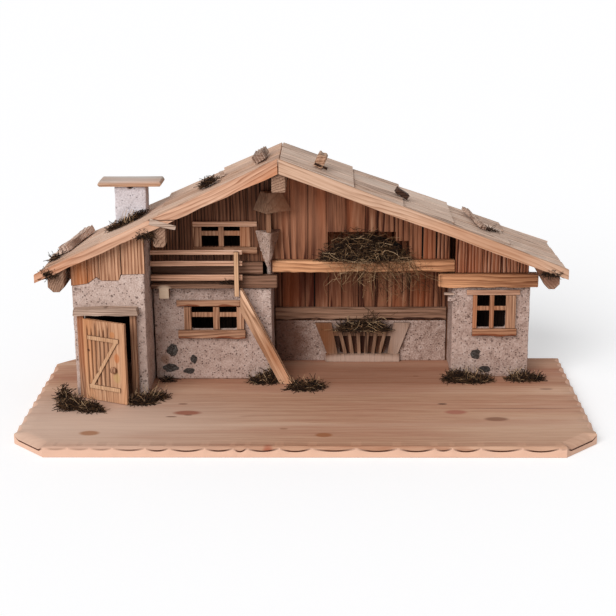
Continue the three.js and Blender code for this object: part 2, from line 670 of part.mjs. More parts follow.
// A square turret on the house's right front corner, turned so that one edge points to the viewer
function makeOriel() {
  const corner = block(-HOUSE_WIDTH, CUT_GAP, -CUT_GAP, HOUSE_WIDTH, 0, RIDGE_HEIGHT);
  const beamFront = LOFT_BEAM_FRONT - HOUSE_FRONT - CUT_GAP;
  const beam = block(-CUT_GAP, BAY_WIDTH, beamFront, BAY_WIDTH, 0, LOFT_BEAM_TOP + CUT_GAP);
  const planksFront = LOFT_PLANKS_FRONT - HOUSE_FRONT - CUT_GAP;
  const planks = block(-CUT_GAP, BAY_WIDTH, planksFront, BAY_WIDTH, 0, RIDGE_HEIGHT);
  const tip = [...CORBEL_TIP, LOFT_BEAM_BOTTOM + CORBEL_TIP_RISE];
  const corbel = pointedBlock([CORBEL_LEFT, CORBEL_FRONT, CORBEL_RIGHT, CORBEL_BACK], CORBEL_TOP, tip);
  const roofBottom = CORBEL_TOP + ORIEL_POST_HEIGHT;
  const roof = squareSpire(ORIEL_ROOF_TOP_REACH, ORIEL_ROOF_REACH, ORIEL_ROOF_HEIGHT);
  const post = squareSpire(ORIEL_POST_WIDTH / Math.SQRT2, ORIEL_POST_WIDTH / Math.SQRT2, ORIEL_POST_HEIGHT);
  post.translate(ORIEL_POST[0], ORIEL_POST[1], CORBEL_TOP);
  return groupAt(HOUSE_WIDTH, 0, 0, [
    piece('oriel_corbel', cut(corbel, [corner, beam, planks]), plaster),
    piece('oriel_post', post, agedWood),
    piece('oriel_roof', cut(roof.translate(0, 0, roofBottom), [corner, planks]), agedWood),
  ]);
}

// A block with a flat polygonal top that narrows to one point below
function pointedBlock(corners, top, tip) {
  const triangles = [];
  for (let n = 0; n < corners.length; n += 1) {
    const here = [...corners[n], top];
    const next = [...corners[(n + 1) % corners.length], top];
    triangles.push(...tip, ...next, ...here);
    if (n > 0 && n < corners.length - 1) {
      triangles.push(...corners[0], top, ...here, ...next);
    }
  }
  const geometry = new THREE.BufferGeometry();
  geometry.setAttribute('position', new THREE.Float32BufferAttribute(triangles, 3));
  return geometry;
}

// A four-sided spire turned as the oriel is, standing on z = 0
function squareSpire(topReach, bottomReach, height) {
  const spire = new THREE.CylinderGeometry(topReach, bottomReach, height, 4);
  spire.rotateX(Math.PI / 2);
  spire.rotateZ(-THREE.MathUtils.degToRad(ORIEL_TURN));
  return spire.translate(0, 0, height / 2);
}

// The plank panel that closes the whole back
function makeBackPanel() {
  const outline = [
    [LEFT_TOWER_X, FLOOR], [RIGHT_TOWER_RIGHT, FLOOR],
    [RIGHT_TOWER_RIGHT, roofUnder(RIGHT_TOWER_RIGHT)],
    [RIDGE_X, Math.min(roofUnder(RIDGE_X), roofUnder(RIDGE_X - 0.001))],
    [LEFT_TOWER_X, roofUnder(LEFT_TOWER_X)],
  ];
  return piece('back_panel', frontBoard(outline, BACK, BACK + BACK_PANEL_THICKNESS), darkWood);
}

// The open bay: low plaster panel with the rack's hollow, the rail above it, and the loft's front
function makeBay() {
  const left = CUT_GAP;
  const right = BAY_WIDTH - CUT_GAP;
  const hollowBottom = FLOOR + RACK_SILL_HEIGHT;
  const hollow = rectangle(RACK_CENTRE - HOLLOW_HALF, RACK_CENTRE + HOLLOW_HALF, hollowBottom, HOLLOW_TOP);
  const panel = rectangle(left, right, FLOOR, BACK_RAIL_BOTTOM);
  const loftRight = BAY_WIDTH + LOFT_RIGHT_END;
  const beamFront = LOFT_BEAM_FRONT;
  const beamBack = LOFT_BEAM_FRONT + LOFT_BEAM_DEPTH;
  const railTop = BACK_RAIL_BOTTOM + BACK_RAIL_HEIGHT;
  return groupAt(HOUSE_RIGHT, 0, 0, [
    piece('back_wall_plaster', frontBoard(panel, BACK - BACK_PLASTER_THICKNESS, BACK, [hollow]), plaster),
    piece('back_wall_rail',
      block(left, right, BACK - BACK_RAIL_THICKNESS, BACK, BACK_RAIL_BOTTOM, railTop),
      agedWood),
    makeRack(),
    makeRackHay(),
    piece('loft_beam',
      block(left, loftRight, beamFront, beamBack, LOFT_BEAM_BOTTOM, LOFT_BEAM_TOP), goldenWood),
    piece('loft_planks',
      frontBoard(loftWall(0), LOFT_PLANKS_FRONT, LOFT_PLANKS_FRONT + PLANK_THICKNESS), darkWood),
    makeLoftHay(),
  ]);
}

// The plank wall on the loft beam, as the front view shows it. It runs up to the roof and passes under
// the ridge purlin. The clearance makes its hatch smaller, for what passes through.
function loftWall(clearance) {
  const left = CUT_GAP;
  const right = BAY_WIDTH - LOFT_PLANKS_SHORT;
  const purlinX = RIDGE_X - RIDGE_PURLIN_WIDTH / 2;
  const notchTop = purlinBottom(purlinX, RIDGE_PURLIN_WIDTH, RIDGE_PURLIN_HEIGHT) - CUT_GAP;
  const notchRight = purlinX + RIDGE_PURLIN_WIDTH + CUT_GAP - HOUSE_RIGHT;
  const hatchLeft = BAY_WIDTH / 2 + HATCH_OFF_CENTRE - HATCH_WIDTH / 2 + clearance;
  const step = hatchLeft + HATCH_WIDTH - 2 * clearance;
  const hatchRight = step + HATCH_STEP_WIDTH;
  const hatchTop = LOFT_BEAM_TOP + HATCH_HEIGHT - clearance;
  const stepTop = LOFT_BEAM_TOP + HATCH_STEP_HEIGHT - clearance;
  return [
    [left, LOFT_BEAM_TOP], [hatchLeft, LOFT_BEAM_TOP], [hatchLeft, hatchTop], [step, hatchTop],
    [step, stepTop], [hatchRight, stepTop], [hatchRight, LOFT_BEAM_TOP], [right, LOFT_BEAM_TOP],
    [right, roofUnder(HOUSE_RIGHT + right)], [notchRight, roofUnder(HOUSE_RIGHT + notchRight)],
    [notchRight, notchTop], [left, notchTop],
  ];
}

// The hay rack against the back wall: two slanted boards, fanned slats, a cross rail and a sill
function makeRack() {
  const back = BACK - BACK_PLASTER_THICKNESS;
  const front = back - RACK_THICKNESS;
  const sillTop = FLOOR + RACK_SILL_HEIGHT;
  const foot = sillTop - 1;
  const parts = [
    block(-RACK_SILL_LENGTH / 2, RACK_SILL_LENGTH / 2, back - RACK_SILL_THICKNESS, back, FLOOR, sillTop),
    block(-RACK_TOP_HALF, RACK_TOP_HALF, front + SLAT_THICKNESS / 2, back,
      RACK_RAIL_BOTTOM, RACK_RAIL_BOTTOM + RACK_RAIL_HEIGHT),
  ];
  for (const side of [-1, 1]) {
    parts.push(frontBoard([
      [side * RACK_FOOT_HALF, foot], [side * (RACK_FOOT_HALF + RACK_BOARD_FOOT), foot],
      [side * (RACK_TOP_HALF + RACK_BOARD_WIDTH), RACK_BOARD_TOP], [side * RACK_TOP_HALF, RACK_BOARD_TOP],
    ], front, back));
  }
  for (let n = 0; n < SLAT_COUNT; n += 1) {
    const share = n / (SLAT_COUNT - 1) - 0.5;
    const top = share * SLAT_TOP_SPREAD;
    const bottom = share * SLAT_FOOT_SPREAD;
    parts.push(frontBoard([
      [bottom - SLAT_WIDTH / 2, foot], [bottom + SLAT_WIDTH / 2, foot],
      [top + SLAT_WIDTH / 2, SLAT_TOP], [top - SLAT_WIDTH / 2, SLAT_TOP],
    ], front, front + SLAT_THICKNESS));
  }
  const rack = join(parts);
  return piece('hay_rack', rack.translate(RACK_CENTRE, 0, 0), agedWood);
}

// A lumpy heap with a flat underside, centred on the origin and standing on z = 0
function heap(length, depth, height) {
  const ball = new THREE.IcosahedronGeometry(1, 4);
  const position = ball.attributes.position;
  const point = new THREE.Vector3();
  for (let n = 0; n < position.count; n += 1) {
    point.fromBufferAttribute(position, n);
    const wave = Math.sin(7 * point.x + 2) * Math.cos(9 * point.y) * Math.sin(5 * point.z + 1);
    const lump = 1 - HAY_LUMP * (1 + wave);
    position.setXYZ(n, point.x * lump * length / 2, point.y * lump * depth / 2, point.z * lump * height);
  }
  return cut(ball, [block(-length, length, -depth, depth, -2 * height, 0)]);
}

function makeRackHay() {
  const clump = heap(RACK_HAY_LENGTH, RACK_HAY_DEPTH, RACK_HAY_HEIGHT);
  const back = BACK - BACK_RAIL_THICKNESS - CUT_GAP;
  clump.translate(RACK_CENTRE, back - RACK_HAY_DEPTH / 2, SLAT_TOP + CUT_GAP);
  return piece('rack_hay', clump, hay);
}

// The loft's hay lies on the beam, in front of the planks and through their hatch
function makeLoftHay() {
  const clump = heap(LOFT_HAY_LENGTH, LOFT_HAY_DEPTH, LOFT_HAY_HEIGHT);
  const middle = LOFT_BEAM_FRONT - LOFT_HAY_PROUD + LOFT_HAY_DEPTH / 2;
  const planksBack = LOFT_PLANKS_FRONT + PLANK_THICKNESS;
  const planks = frontBoard(loftWall(CUT_GAP), LOFT_PLANKS_FRONT - CUT_GAP, planksBack + CUT_GAP);
  clump.translate(BAY_WIDTH / 2 + LOFT_HAY_OFF_CENTRE, middle, LOFT_BEAM_TOP + CUT_GAP);
  return piece('loft_hay', cut(clump, [planks]), hay);
}

function makeRightTower() {
  const depth = BACK - RIGHT_TOWER_FRONT;
  const wall = rectangle(0, RIGHT_TOWER_WIDTH, FLOOR, PLATE_BEAM_BOTTOM);
  const window = openingOf(RIGHT_WINDOW, RIGHT_TOWER_WIDTH, PLATE_BEAM_BOTTOM);
  const gableLeft = LOFT_RIGHT_END + 2 * CUT_GAP;
  const gableRight = RIGHT_TOWER_WIDTH - RIGHT_GABLE_SHORT;
  const wallInner = RIGHT_TOWER_WIDTH - WALL_THICKNESS;
  const beamRight = RIGHT_TOWER_WIDTH + PLATE_BEAM_RIGHT;
  const beamBack = WALL_THICKNESS - CUT_GAP;
  const gable = [
    [gableLeft, LOFT_BEAM_BOTTOM], [gableRight, LOFT_BEAM_BOTTOM],
    [gableRight, roofUnder(RIGHT_TOWER_X + gableRight)], [gableLeft, roofUnder(RIGHT_TOWER_X + gableLeft)],
  ];
  const planksFront = -PLANK_SETBACK;
  return groupAt(RIGHT_TOWER_X, RIGHT_TOWER_FRONT, 0, [
    piece('right_tower_front_wall', frontBoard(wall, 0, WALL_THICKNESS, [windowHole(window)]), plaster),
    piece('right_tower_left_wall',
      block(0, WALL_THICKNESS, WALL_THICKNESS, depth, FLOOR, LOFT_BEAM_BOTTOM), plaster),
    piece('right_tower_right_wall',
      block(wallInner, RIGHT_TOWER_WIDTH, WALL_THICKNESS, depth, FLOOR, LOFT_BEAM_BOTTOM), plaster),
    piece('right_tower_planks', frontBoard(gable, planksFront, planksFront + PLANK_THICKNESS), darkWood),
    piece('right_tower_beam',
      block(-PLATE_BEAM_LEFT, beamRight, -PLATE_BEAM_PROUD, beamBack, PLATE_BEAM_BOTTOM, LOFT_BEAM_BOTTOM),
      goldenWood),
    ...makeWindow('right', window, 0, goldenWood, agedWood),
  ]);
}

// Two layers of planks on one slope: a plain lower layer, and courses that step down towards the eave
function makeRoofPlanks(name, slope) {
  const layer = upright(slope, PLANK_LAYER);
  const start = CUT_GAP / 2;
  const point = (out, drop) => slopePoint(slope, out, drop);
  const parts = [frontBoard([
    point(start, layer), point(slope.reach - PLANK_END_SPREAD, layer),
    point(slope.reach - PLANK_END_SPREAD, 2 * layer), point(start, 2 * layer),
  ], DECK_FRONT, ROOF_BACK)];
  const plankWidth = (ROOF_BACK - DECK_FRONT) / PLANKS_PER_COURSE;
  for (let course = 0; course < slope.courses.length; course += 1) {
    for (let plank = 0; plank < PLANKS_PER_COURSE; plank += 1) {
      const seed = 10 * course + plank + (slope.side > 0 ? 50 : 3);
      const eave = course === slope.courses.length - 1;
      const longer = eave && plank === 0 ? slope.frontPlankLonger : 0;
      const shift = PLANK_END_SPREAD * (scatter(seed) - (eave ? 1 : 0));
      const upper = course === 0 ? start : slope.courses[course - 1] * slope.reach;
      const lower = slope.courses[course] * slope.reach + (longer || shift);
      const lift = PLANK_LIFT_SPREAD * scatter(seed + 0.5);
      const y0 = DECK_FRONT + plank * plankWidth;
      parts.push(frontBoard([
        point(upper, lift + layer * 0.9), point(lower, lift),
        point(lower, 1.2 * layer), point(upper, 1.2 * layer),
      ], y0, y0 + plankWidth));
    }
  }
  return piece(name, join(parts), greyWood);
}

// A barge board from one distance out to another, with a waney lower edge
function bargeOutline(slope, ends, eaveHeight) {
  const steps = 8;
  const lower = [];
  for (let n = 0; n <= steps; n += 1) {
    const out = ends.bottomStart + (ends.bottomEnd - ends.bottomStart) * n / steps;
    const height = THREE.MathUtils.lerp(BARGE_RIDGE_HEIGHT, eaveHeight, out / slope.reach);
    const inner = n > 0 && n < steps;
    const wane = inner ? BARGE_WANE * Math.sin(2.1 * n + slope.side) : 0;
    lower.push(slopePoint(slope, out, height + wane - BARGE_PROUD));
  }
  const topEnd = slopePoint(slope, ends.topEnd, -BARGE_PROUD);
  const topStart = slopePoint(slope, ends.topStart, -BARGE_PROUD);
  return [topEnd, topStart, ...lower];
}

function makeBargeBoards() {
  const start = CUT_GAP / 2;
  const upperEnds = {
    topStart: start, bottomStart: start, topEnd: SCARF_UPPER + SCARF_LENGTH, bottomEnd: SCARF_UPPER,
  };
  const lowerEnds = {
    topStart: upperEnds.topEnd + CUT_GAP, bottomStart: upperEnds.bottomEnd + CUT_GAP,
    topEnd: LEFT_SLOPE.reach, bottomEnd: LEFT_SLOPE.reach,
  };
  const rightEnds = {
    topStart: start, bottomStart: start, topEnd: RIGHT_SLOPE.reach, bottomEnd: RIGHT_SLOPE.reach,
  };
  const board = (name, slope, ends, eaveHeight) => piece(name,
    frontBoard(bargeOutline(slope, ends, eaveHeight), ROOF_FRONT, DECK_FRONT), palePine);
  return [
    board('left_barge_board_upper', LEFT_SLOPE, upperEnds, LEFT_BARGE_EAVE_HEIGHT),
    board('left_barge_board_lower', LEFT_SLOPE, lowerEnds, LEFT_BARGE_EAVE_HEIGHT),
    board('right_barge_board', RIGHT_SLOPE, rightEnds, RIGHT_BARGE_EAVE_HEIGHT),
  ];
}

// A purlin's height counts from the lower of its two top edges
function purlinBottom(x0, width, height) {
  return Math.min(roofUnder(x0), roofUnder(x0 + width)) - height;
}

// A timber under the planks, with its top cut to the slope and its lower edges worn off
function makePurlin(name, x0, width, height, length, chamfer) {
  const x1 = x0 + width;
  const bottom = purlinBottom(x0, width, height);
  const top = [[x1, roofUnder(x1)]];
  if (x0 < RIDGE_X && x1 > RIDGE_X) {
    top.push([RIDGE_X, Math.min(roofUnder(RIDGE_X), roofUnder(RIDGE_X - 0.001))]);
  }
  top.push([x0, roofUnder(x0)]);
  const outline = [
    [x0, bottom + chamfer], [x0 + chamfer, bottom], [x1 - chamfer, bottom], [x1, bottom + chamfer], ...top,
  ];
  return piece(name, frontBoard(outline, DECK_FRONT, DECK_FRONT + length), agedWood);
}

function makeRoof() {
  const full = BACK - DECK_FRONT;
  const ridgePurlinX = RIDGE_X - RIDGE_PURLIN_WIDTH / 2;
  const middlePurlinX = LEFT_TOWER_RIGHT + MIDDLE_PURLIN_OFFSET;
  const eavePurlinX = LEFT_TOWER_X - EAVE_PURLIN_OFFSET - EAVE_PURLIN_WIDTH;
  const rightPurlinX = RIGHT_TOWER_RIGHT + RIGHT_PURLIN_OFFSET;
  return groupAt(0, 0, 0, [
    makeRoofPlanks('left_roof_planks', LEFT_SLOPE),
    makeRoofPlanks('right_roof_planks', RIGHT_SLOPE),
    ...makeBargeBoards(),
    makePurlin('ridge_purlin', ridgePurlinX, RIDGE_PURLIN_WIDTH, RIDGE_PURLIN_HEIGHT,
      full, STUB_CHAMFER / 3),
    makePurlin('middle_purlin', middlePurlinX, MIDDLE_PURLIN_WIDTH, MIDDLE_PURLIN_HEIGHT,
      MIDDLE_PURLIN_LENGTH, STUB_CHAMFER),
    makePurlin('left_eave_purlin', eavePurlinX, EAVE_PURLIN_WIDTH, EAVE_PURLIN_HEIGHT, full, LOG_CHAMFER),
    makePurlin('right_eave_purlin', rightPurlinX, RIGHT_PURLIN_WIDTH, RIGHT_PURLIN_HEIGHT,
      RIGHT_PURLIN_LENGTH, LOG_CHAMFER),
  ]);
}

// The plastered stack stands on the stepped planks, so the planks cut its foot
function makeChimney(planks) {
  const x0 = LEFT_TOWER_X + CHIMNEY_X;
  const x1 = x0 + CHIMNEY_WIDTH;
  const back = CHIMNEY_FRONT + CHIMNEY_DEPTH;
  const inPlanks = upright(LEFT_SLOPE, PLANK_LAYER);
  const height = (x, drop) => slopeHeight(LEFT_SLOPE, RIDGE_X - x, drop);
  const middle = (x0 + x1) / 2;
  const stack = frontBoard([
    [x0, height(x0, inPlanks)], [x1, height(x1, inPlanks)], [x1, CHIMNEY_TOP],
    [middle + CHIMNEY_NOTCH_WIDTH / 2, CHIMNEY_TOP], [middle, CHIMNEY_TOP - CHIMNEY_NOTCH_DEPTH],
    [middle - CHIMNEY_NOTCH_WIDTH / 2, CHIMNEY_TOP], [x0, CHIMNEY_TOP],
  ], CHIMNEY_FRONT, back);
  const raisedPlanks = planks.geometry.clone().translate(0, 0, CUT_GAP);
  const capLeft = x0 - CAP_LEFT_OVERHANG;
  const capRight = x1 + CAP_RIGHT_OVERHANG;
  const capTop = CHIMNEY_TOP + CAP_THICKNESS;
  const capEdge = CHIMNEY_TOP + CAP_TAPER;
  const cap = frontBoard([
    [capLeft + CAP_TAPER, CHIMNEY_TOP], [capRight - CAP_TAPER, CHIMNEY_TOP], [capRight, capEdge],
    [capRight - CAP_TAPER, capTop], [capLeft + CAP_TAPER, capTop], [capLeft, capEdge],
  ], CHIMNEY_FRONT - CAP_SIDE_OVERHANG, back + CAP_SIDE_OVERHANG);
  return groupAt(0, 0, 0, [
    piece('chimney_stack', cut(stack, [raisedPlanks]), paleLime),
    piece('chimney_cap', cap, greyWood),
  ]);
}

const stable = new THREE.Group();
stable.add(makeBase());
stable.add(makeBackPanel());
stable.add(makeLeftTower());
stable.add(makeHouse());
stable.add(makeBay());
stable.add(makeRightTower());
const roof = makeRoof();
stable.add(roof);
stable.add(makeChimney(roof.children[0]));

export default stable;
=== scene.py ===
# %% [markdown]
# # A nativity stable in weathered wood and rough plaster
# This lesson dresses a measured model of an alpine stable. The measured model gives every wall, beam and
# hinge its real place and size. Here each of them gets the look of the real thing: brushed planks, waney
# beams, lumpy plaster, moss and hay. The first cell loads the measured model, which never moves.

# %% Load the measured stable
import math

import bmesh
import bpy
from mathutils import Matrix, Vector, noise


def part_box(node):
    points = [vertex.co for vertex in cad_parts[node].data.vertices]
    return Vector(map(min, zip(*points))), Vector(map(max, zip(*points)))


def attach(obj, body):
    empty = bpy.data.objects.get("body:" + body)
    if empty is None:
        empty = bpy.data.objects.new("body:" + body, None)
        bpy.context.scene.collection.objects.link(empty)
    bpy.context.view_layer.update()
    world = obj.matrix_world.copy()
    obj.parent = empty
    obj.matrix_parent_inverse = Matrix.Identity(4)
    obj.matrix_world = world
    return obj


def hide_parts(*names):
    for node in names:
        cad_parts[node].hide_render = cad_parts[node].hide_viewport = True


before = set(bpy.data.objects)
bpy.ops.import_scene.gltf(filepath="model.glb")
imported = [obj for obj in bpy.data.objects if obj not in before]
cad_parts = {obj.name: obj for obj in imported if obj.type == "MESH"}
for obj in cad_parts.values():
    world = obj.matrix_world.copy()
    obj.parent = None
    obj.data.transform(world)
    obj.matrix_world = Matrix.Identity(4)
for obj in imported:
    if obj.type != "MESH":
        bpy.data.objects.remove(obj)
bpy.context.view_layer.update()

MM = 0.001
SAME_PLACE = 0.02 * MM
scene = bpy.context.scene
print("measured pieces:", len(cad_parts))

# %% [markdown]
# ## Where the camera stands
# The real stable was pictured from in front, from above the ridge, with a long lens. The camera's place and
# turn were solved from the corners of the base board, so they are odd numbers. Building the three axes by
# hand from pitch, yaw and a slight roll keeps each of them readable.

# %% Camera
CAMERA_PLACE = Vector((35.0, -1674.1, 624.5)) * MM
PITCH = math.radians(16.184)
YAW = math.radians(-1.091)
ROLL = math.radians(-0.366)
FOCAL_LENGTH, SENSOR_WIDTH = 78.57, 36


def camera_axes():
    """Right, up and forward of the camera after its yaw, pitch and roll."""
    forward = Vector((math.sin(YAW) * math.cos(PITCH), math.cos(YAW) * math.cos(PITCH), -math.sin(PITCH)))
    level = Vector((math.cos(YAW), -math.sin(YAW), 0))
    upright = level.cross(forward)
    right = math.cos(ROLL) * level + math.sin(ROLL) * upright
    up = -math.sin(ROLL) * level + math.cos(ROLL) * upright
    return right, up, forward


def place_camera():
    right, up, forward = camera_axes()
    lens = bpy.data.cameras.new("camera")
    lens.lens = FOCAL_LENGTH
    lens.sensor_width = SENSOR_WIDTH
    lens.clip_start = 0.05
    camera = bpy.data.objects.new("camera", lens)
    scene.collection.objects.link(camera)
    turn = Matrix((right, up, -forward)).transposed().to_4x4()
    camera.matrix_world = Matrix.Translation(CAMERA_PLACE) @ turn
    scene.camera = camera


place_camera()
print("camera looks along", [round(v, 3) for v in camera_axes()[2]])

# %% [markdown]
# ## Soft light and a white floor
# The real stable stands in broad, soft light: its fronts are bright, its right-hand side walls fall into
# shade, and the ground stays nearly white. One wide sun does that, from the front, from above and a little
# from the left, and a pale sky fills the shade.

# %% Lights
KEY_STRENGTH = 2.6
KEY_DIRECTION = (0.42, 0.8, -0.52)
KEY_SOFTNESS = 40
SKY_STRENGTH = 0.42


def hang_sun(name, strength, towards, softness):
    """A sun whose light travels along the given direction."""
    lamp = bpy.data.lights.new(name, "SUN")
    lamp.energy = strength
    lamp.angle = math.radians(softness)
    sun = bpy.data.objects.new(name, lamp)
    sun.rotation_euler = Vector(towards).to_track_quat("-Z", "Y").to_euler()
    scene.collection.objects.link(sun)


hang_sun("key_light", KEY_STRENGTH, KEY_DIRECTION, KEY_SOFTNESS)
print("sun hung:", KEY_STRENGTH)

# %% [markdown]
# ## Short hands for nodes
# A material is a chain of nodes. Adding a node, setting its knobs and plugging its wires takes many lines,
# so one helper does all three: a knob is given as a number, a colour, or the wire that should go into it.
# Three more are tied to one tree and take up its arithmetic. Every finish starts from the point on the
# piece, in Object coordinates, and ends by plugging a colour and a fine relief into its shader.

# %% Node helpers
def add(tree, kind, values=None, **settings):
    """Adds a node, sets its settings, and fills its inputs with values or with wires."""
    node = tree.nodes.new(kind)
    for key, value in settings.items():
        setattr(node, key, value)
    for key, value in (values or {}).items():
        if isinstance(value, bpy.types.NodeSocket):
            tree.links.new(value, node.inputs[key])
        else:
            node.inputs[key].default_value = value
    return node


def short_hands(tree):
    """Three helpers tied to one tree: any node's first output, a step on numbers, a step on vectors."""
    def node(kind, values=None, **settings):
        return add(tree, kind, values, **settings).outputs[0]

    def calc(operation, *values):
        return node("ShaderNodeMath", dict(enumerate(values)), operation=operation)

    def vector(operation, *values, scale=None):
        given = dict(enumerate(values))
        if scale is not None:
            given["Scale"] = scale
        outputs = add(tree, "ShaderNodeVectorMath", given, operation=operation).outputs
        return outputs["Value" if operation == "LENGTH" else "Vector"]

    return node, calc, vector


def ease(tree, value, low, high, to_low=0.0, to_high=1.0):
    """Carries a value from one range into another, with soft ends."""
    numbers = {"From Min": low, "From Max": high, "To Min": to_low, "To Max": to_high, "Value": value}
    return add(tree, "ShaderNodeMapRange", numbers, interpolation_type="SMOOTHSTEP").outputs["Result"]


def paint(red, green, blue):
    """A colour written as screen numbers, turned into the light values that Blender mixes."""
    def light(value):
        value /= 255
        return value / 12.92 if value <= 0.04045 else ((value + 0.055) / 1.055) ** 2.4
    return (light(red), light(green), light(blue), 1)


def ramp(tree, factor, stops):
    """A colour ramp through several tones."""
    node = add(tree, "ShaderNodeValToRGB", {"Fac": factor})
    band = node.color_ramp
    while len(band.elements) < len(stops):
        band.elements.new(0.5)
    for element, (place, tone) in zip(band.elements, stops):
        element.position = place
        element.color = paint(*tone)
    return node.outputs["Color"]


def blend(tree, factor, first, second):
    """Mixes two colours; a wire or a colour may be given for each."""
    return add(tree, "ShaderNodeMix", {0: factor, 6: first, 7: second}, data_type="RGBA").outputs[2]


def new_finish(name, roughness):
    finish = bpy.data.materials.new(name)
    finish.use_nodes = True
    tree = finish.node_tree
    shader = tree.nodes["Principled BSDF"]
    shader.inputs["Roughness"].default_value = roughness
    place = add(tree, "ShaderNodeTexCoord").outputs["Object"]
    return finish, tree, shader, place


def carried(tree, name):
    """A number that the mesh carries under this name."""
    return add(tree, "ShaderNodeAttribute", attribute_name=name).outputs["Fac"]


def settle(tree, shader, colour, glint, height, strength, distance):
    """Plugs the colour into the shader, and the height as fine relief."""
    tree.links.new(colour, shader.inputs["Base Color"])
    shader.inputs["Specular IOR Level"].default_value = glint
    bump = add(tree, "ShaderNodeBump", {"Strength": strength, "Distance": distance, "Height": height})
    tree.links.new(bump.outputs[0], shader.inputs["Normal"])


print("helpers ready")

# %% [markdown]
# ## What wood looks like
# Softwood shows four things at once: growth rings that run as long waves and loops, fine fibre, knots with
# a dark rim, and a slow change of tone from board to board. Each is a noise that is stretched along the
# grain. The rings are counted outward from a pith that lies far off the board, and two noises bend them,
# which gives the nested loops of a sawn face. The point on the piece is first turned so that the grain lies
# along one axis, and then squeezed. Numbers that the meshes carry steer the rest: "board" slides the
# pattern so that neighbours never match, one number darkens cuts and also places painted as shade,
# "carved" marks fresh cuts, and "rise" tells how high a point lies on its timber, for the bark that is
# left on the lower edge. Soft washes lay painted light and shade over some pieces.

# %% Wood finish
WOOD_ROUGHNESS = 0.72
KNOT_TONE = (112, 58, 32)
GRAIN_TURN = {
    "x": (0, 0, 0),
    "y": (0, 0, -math.pi / 2),
    "z": (0, math.pi / 2, 0),
    "left_slope": (0, math.radians(25.34), 0),
    "right_slope": (0, math.radians(-21.28), 0),
    "stair": (0, math.radians(-63.3), 0),
}


def spot(tree, place, colour, middle, size, tone, strength, core=0.6):
    """Lays a soft spot of another tone over a colour. Middle and size are in millimetres."""
    vector = short_hands(tree)[2]
    away = vector("SUBTRACT", place, [v * MM for v in middle])
    distance = vector("LENGTH", vector("MULTIPLY", away, [1 / (v * MM) for v in size]))
    return blend(tree, ease(tree, distance, 1.1, core, 0.0, strength), colour, paint(*tone))


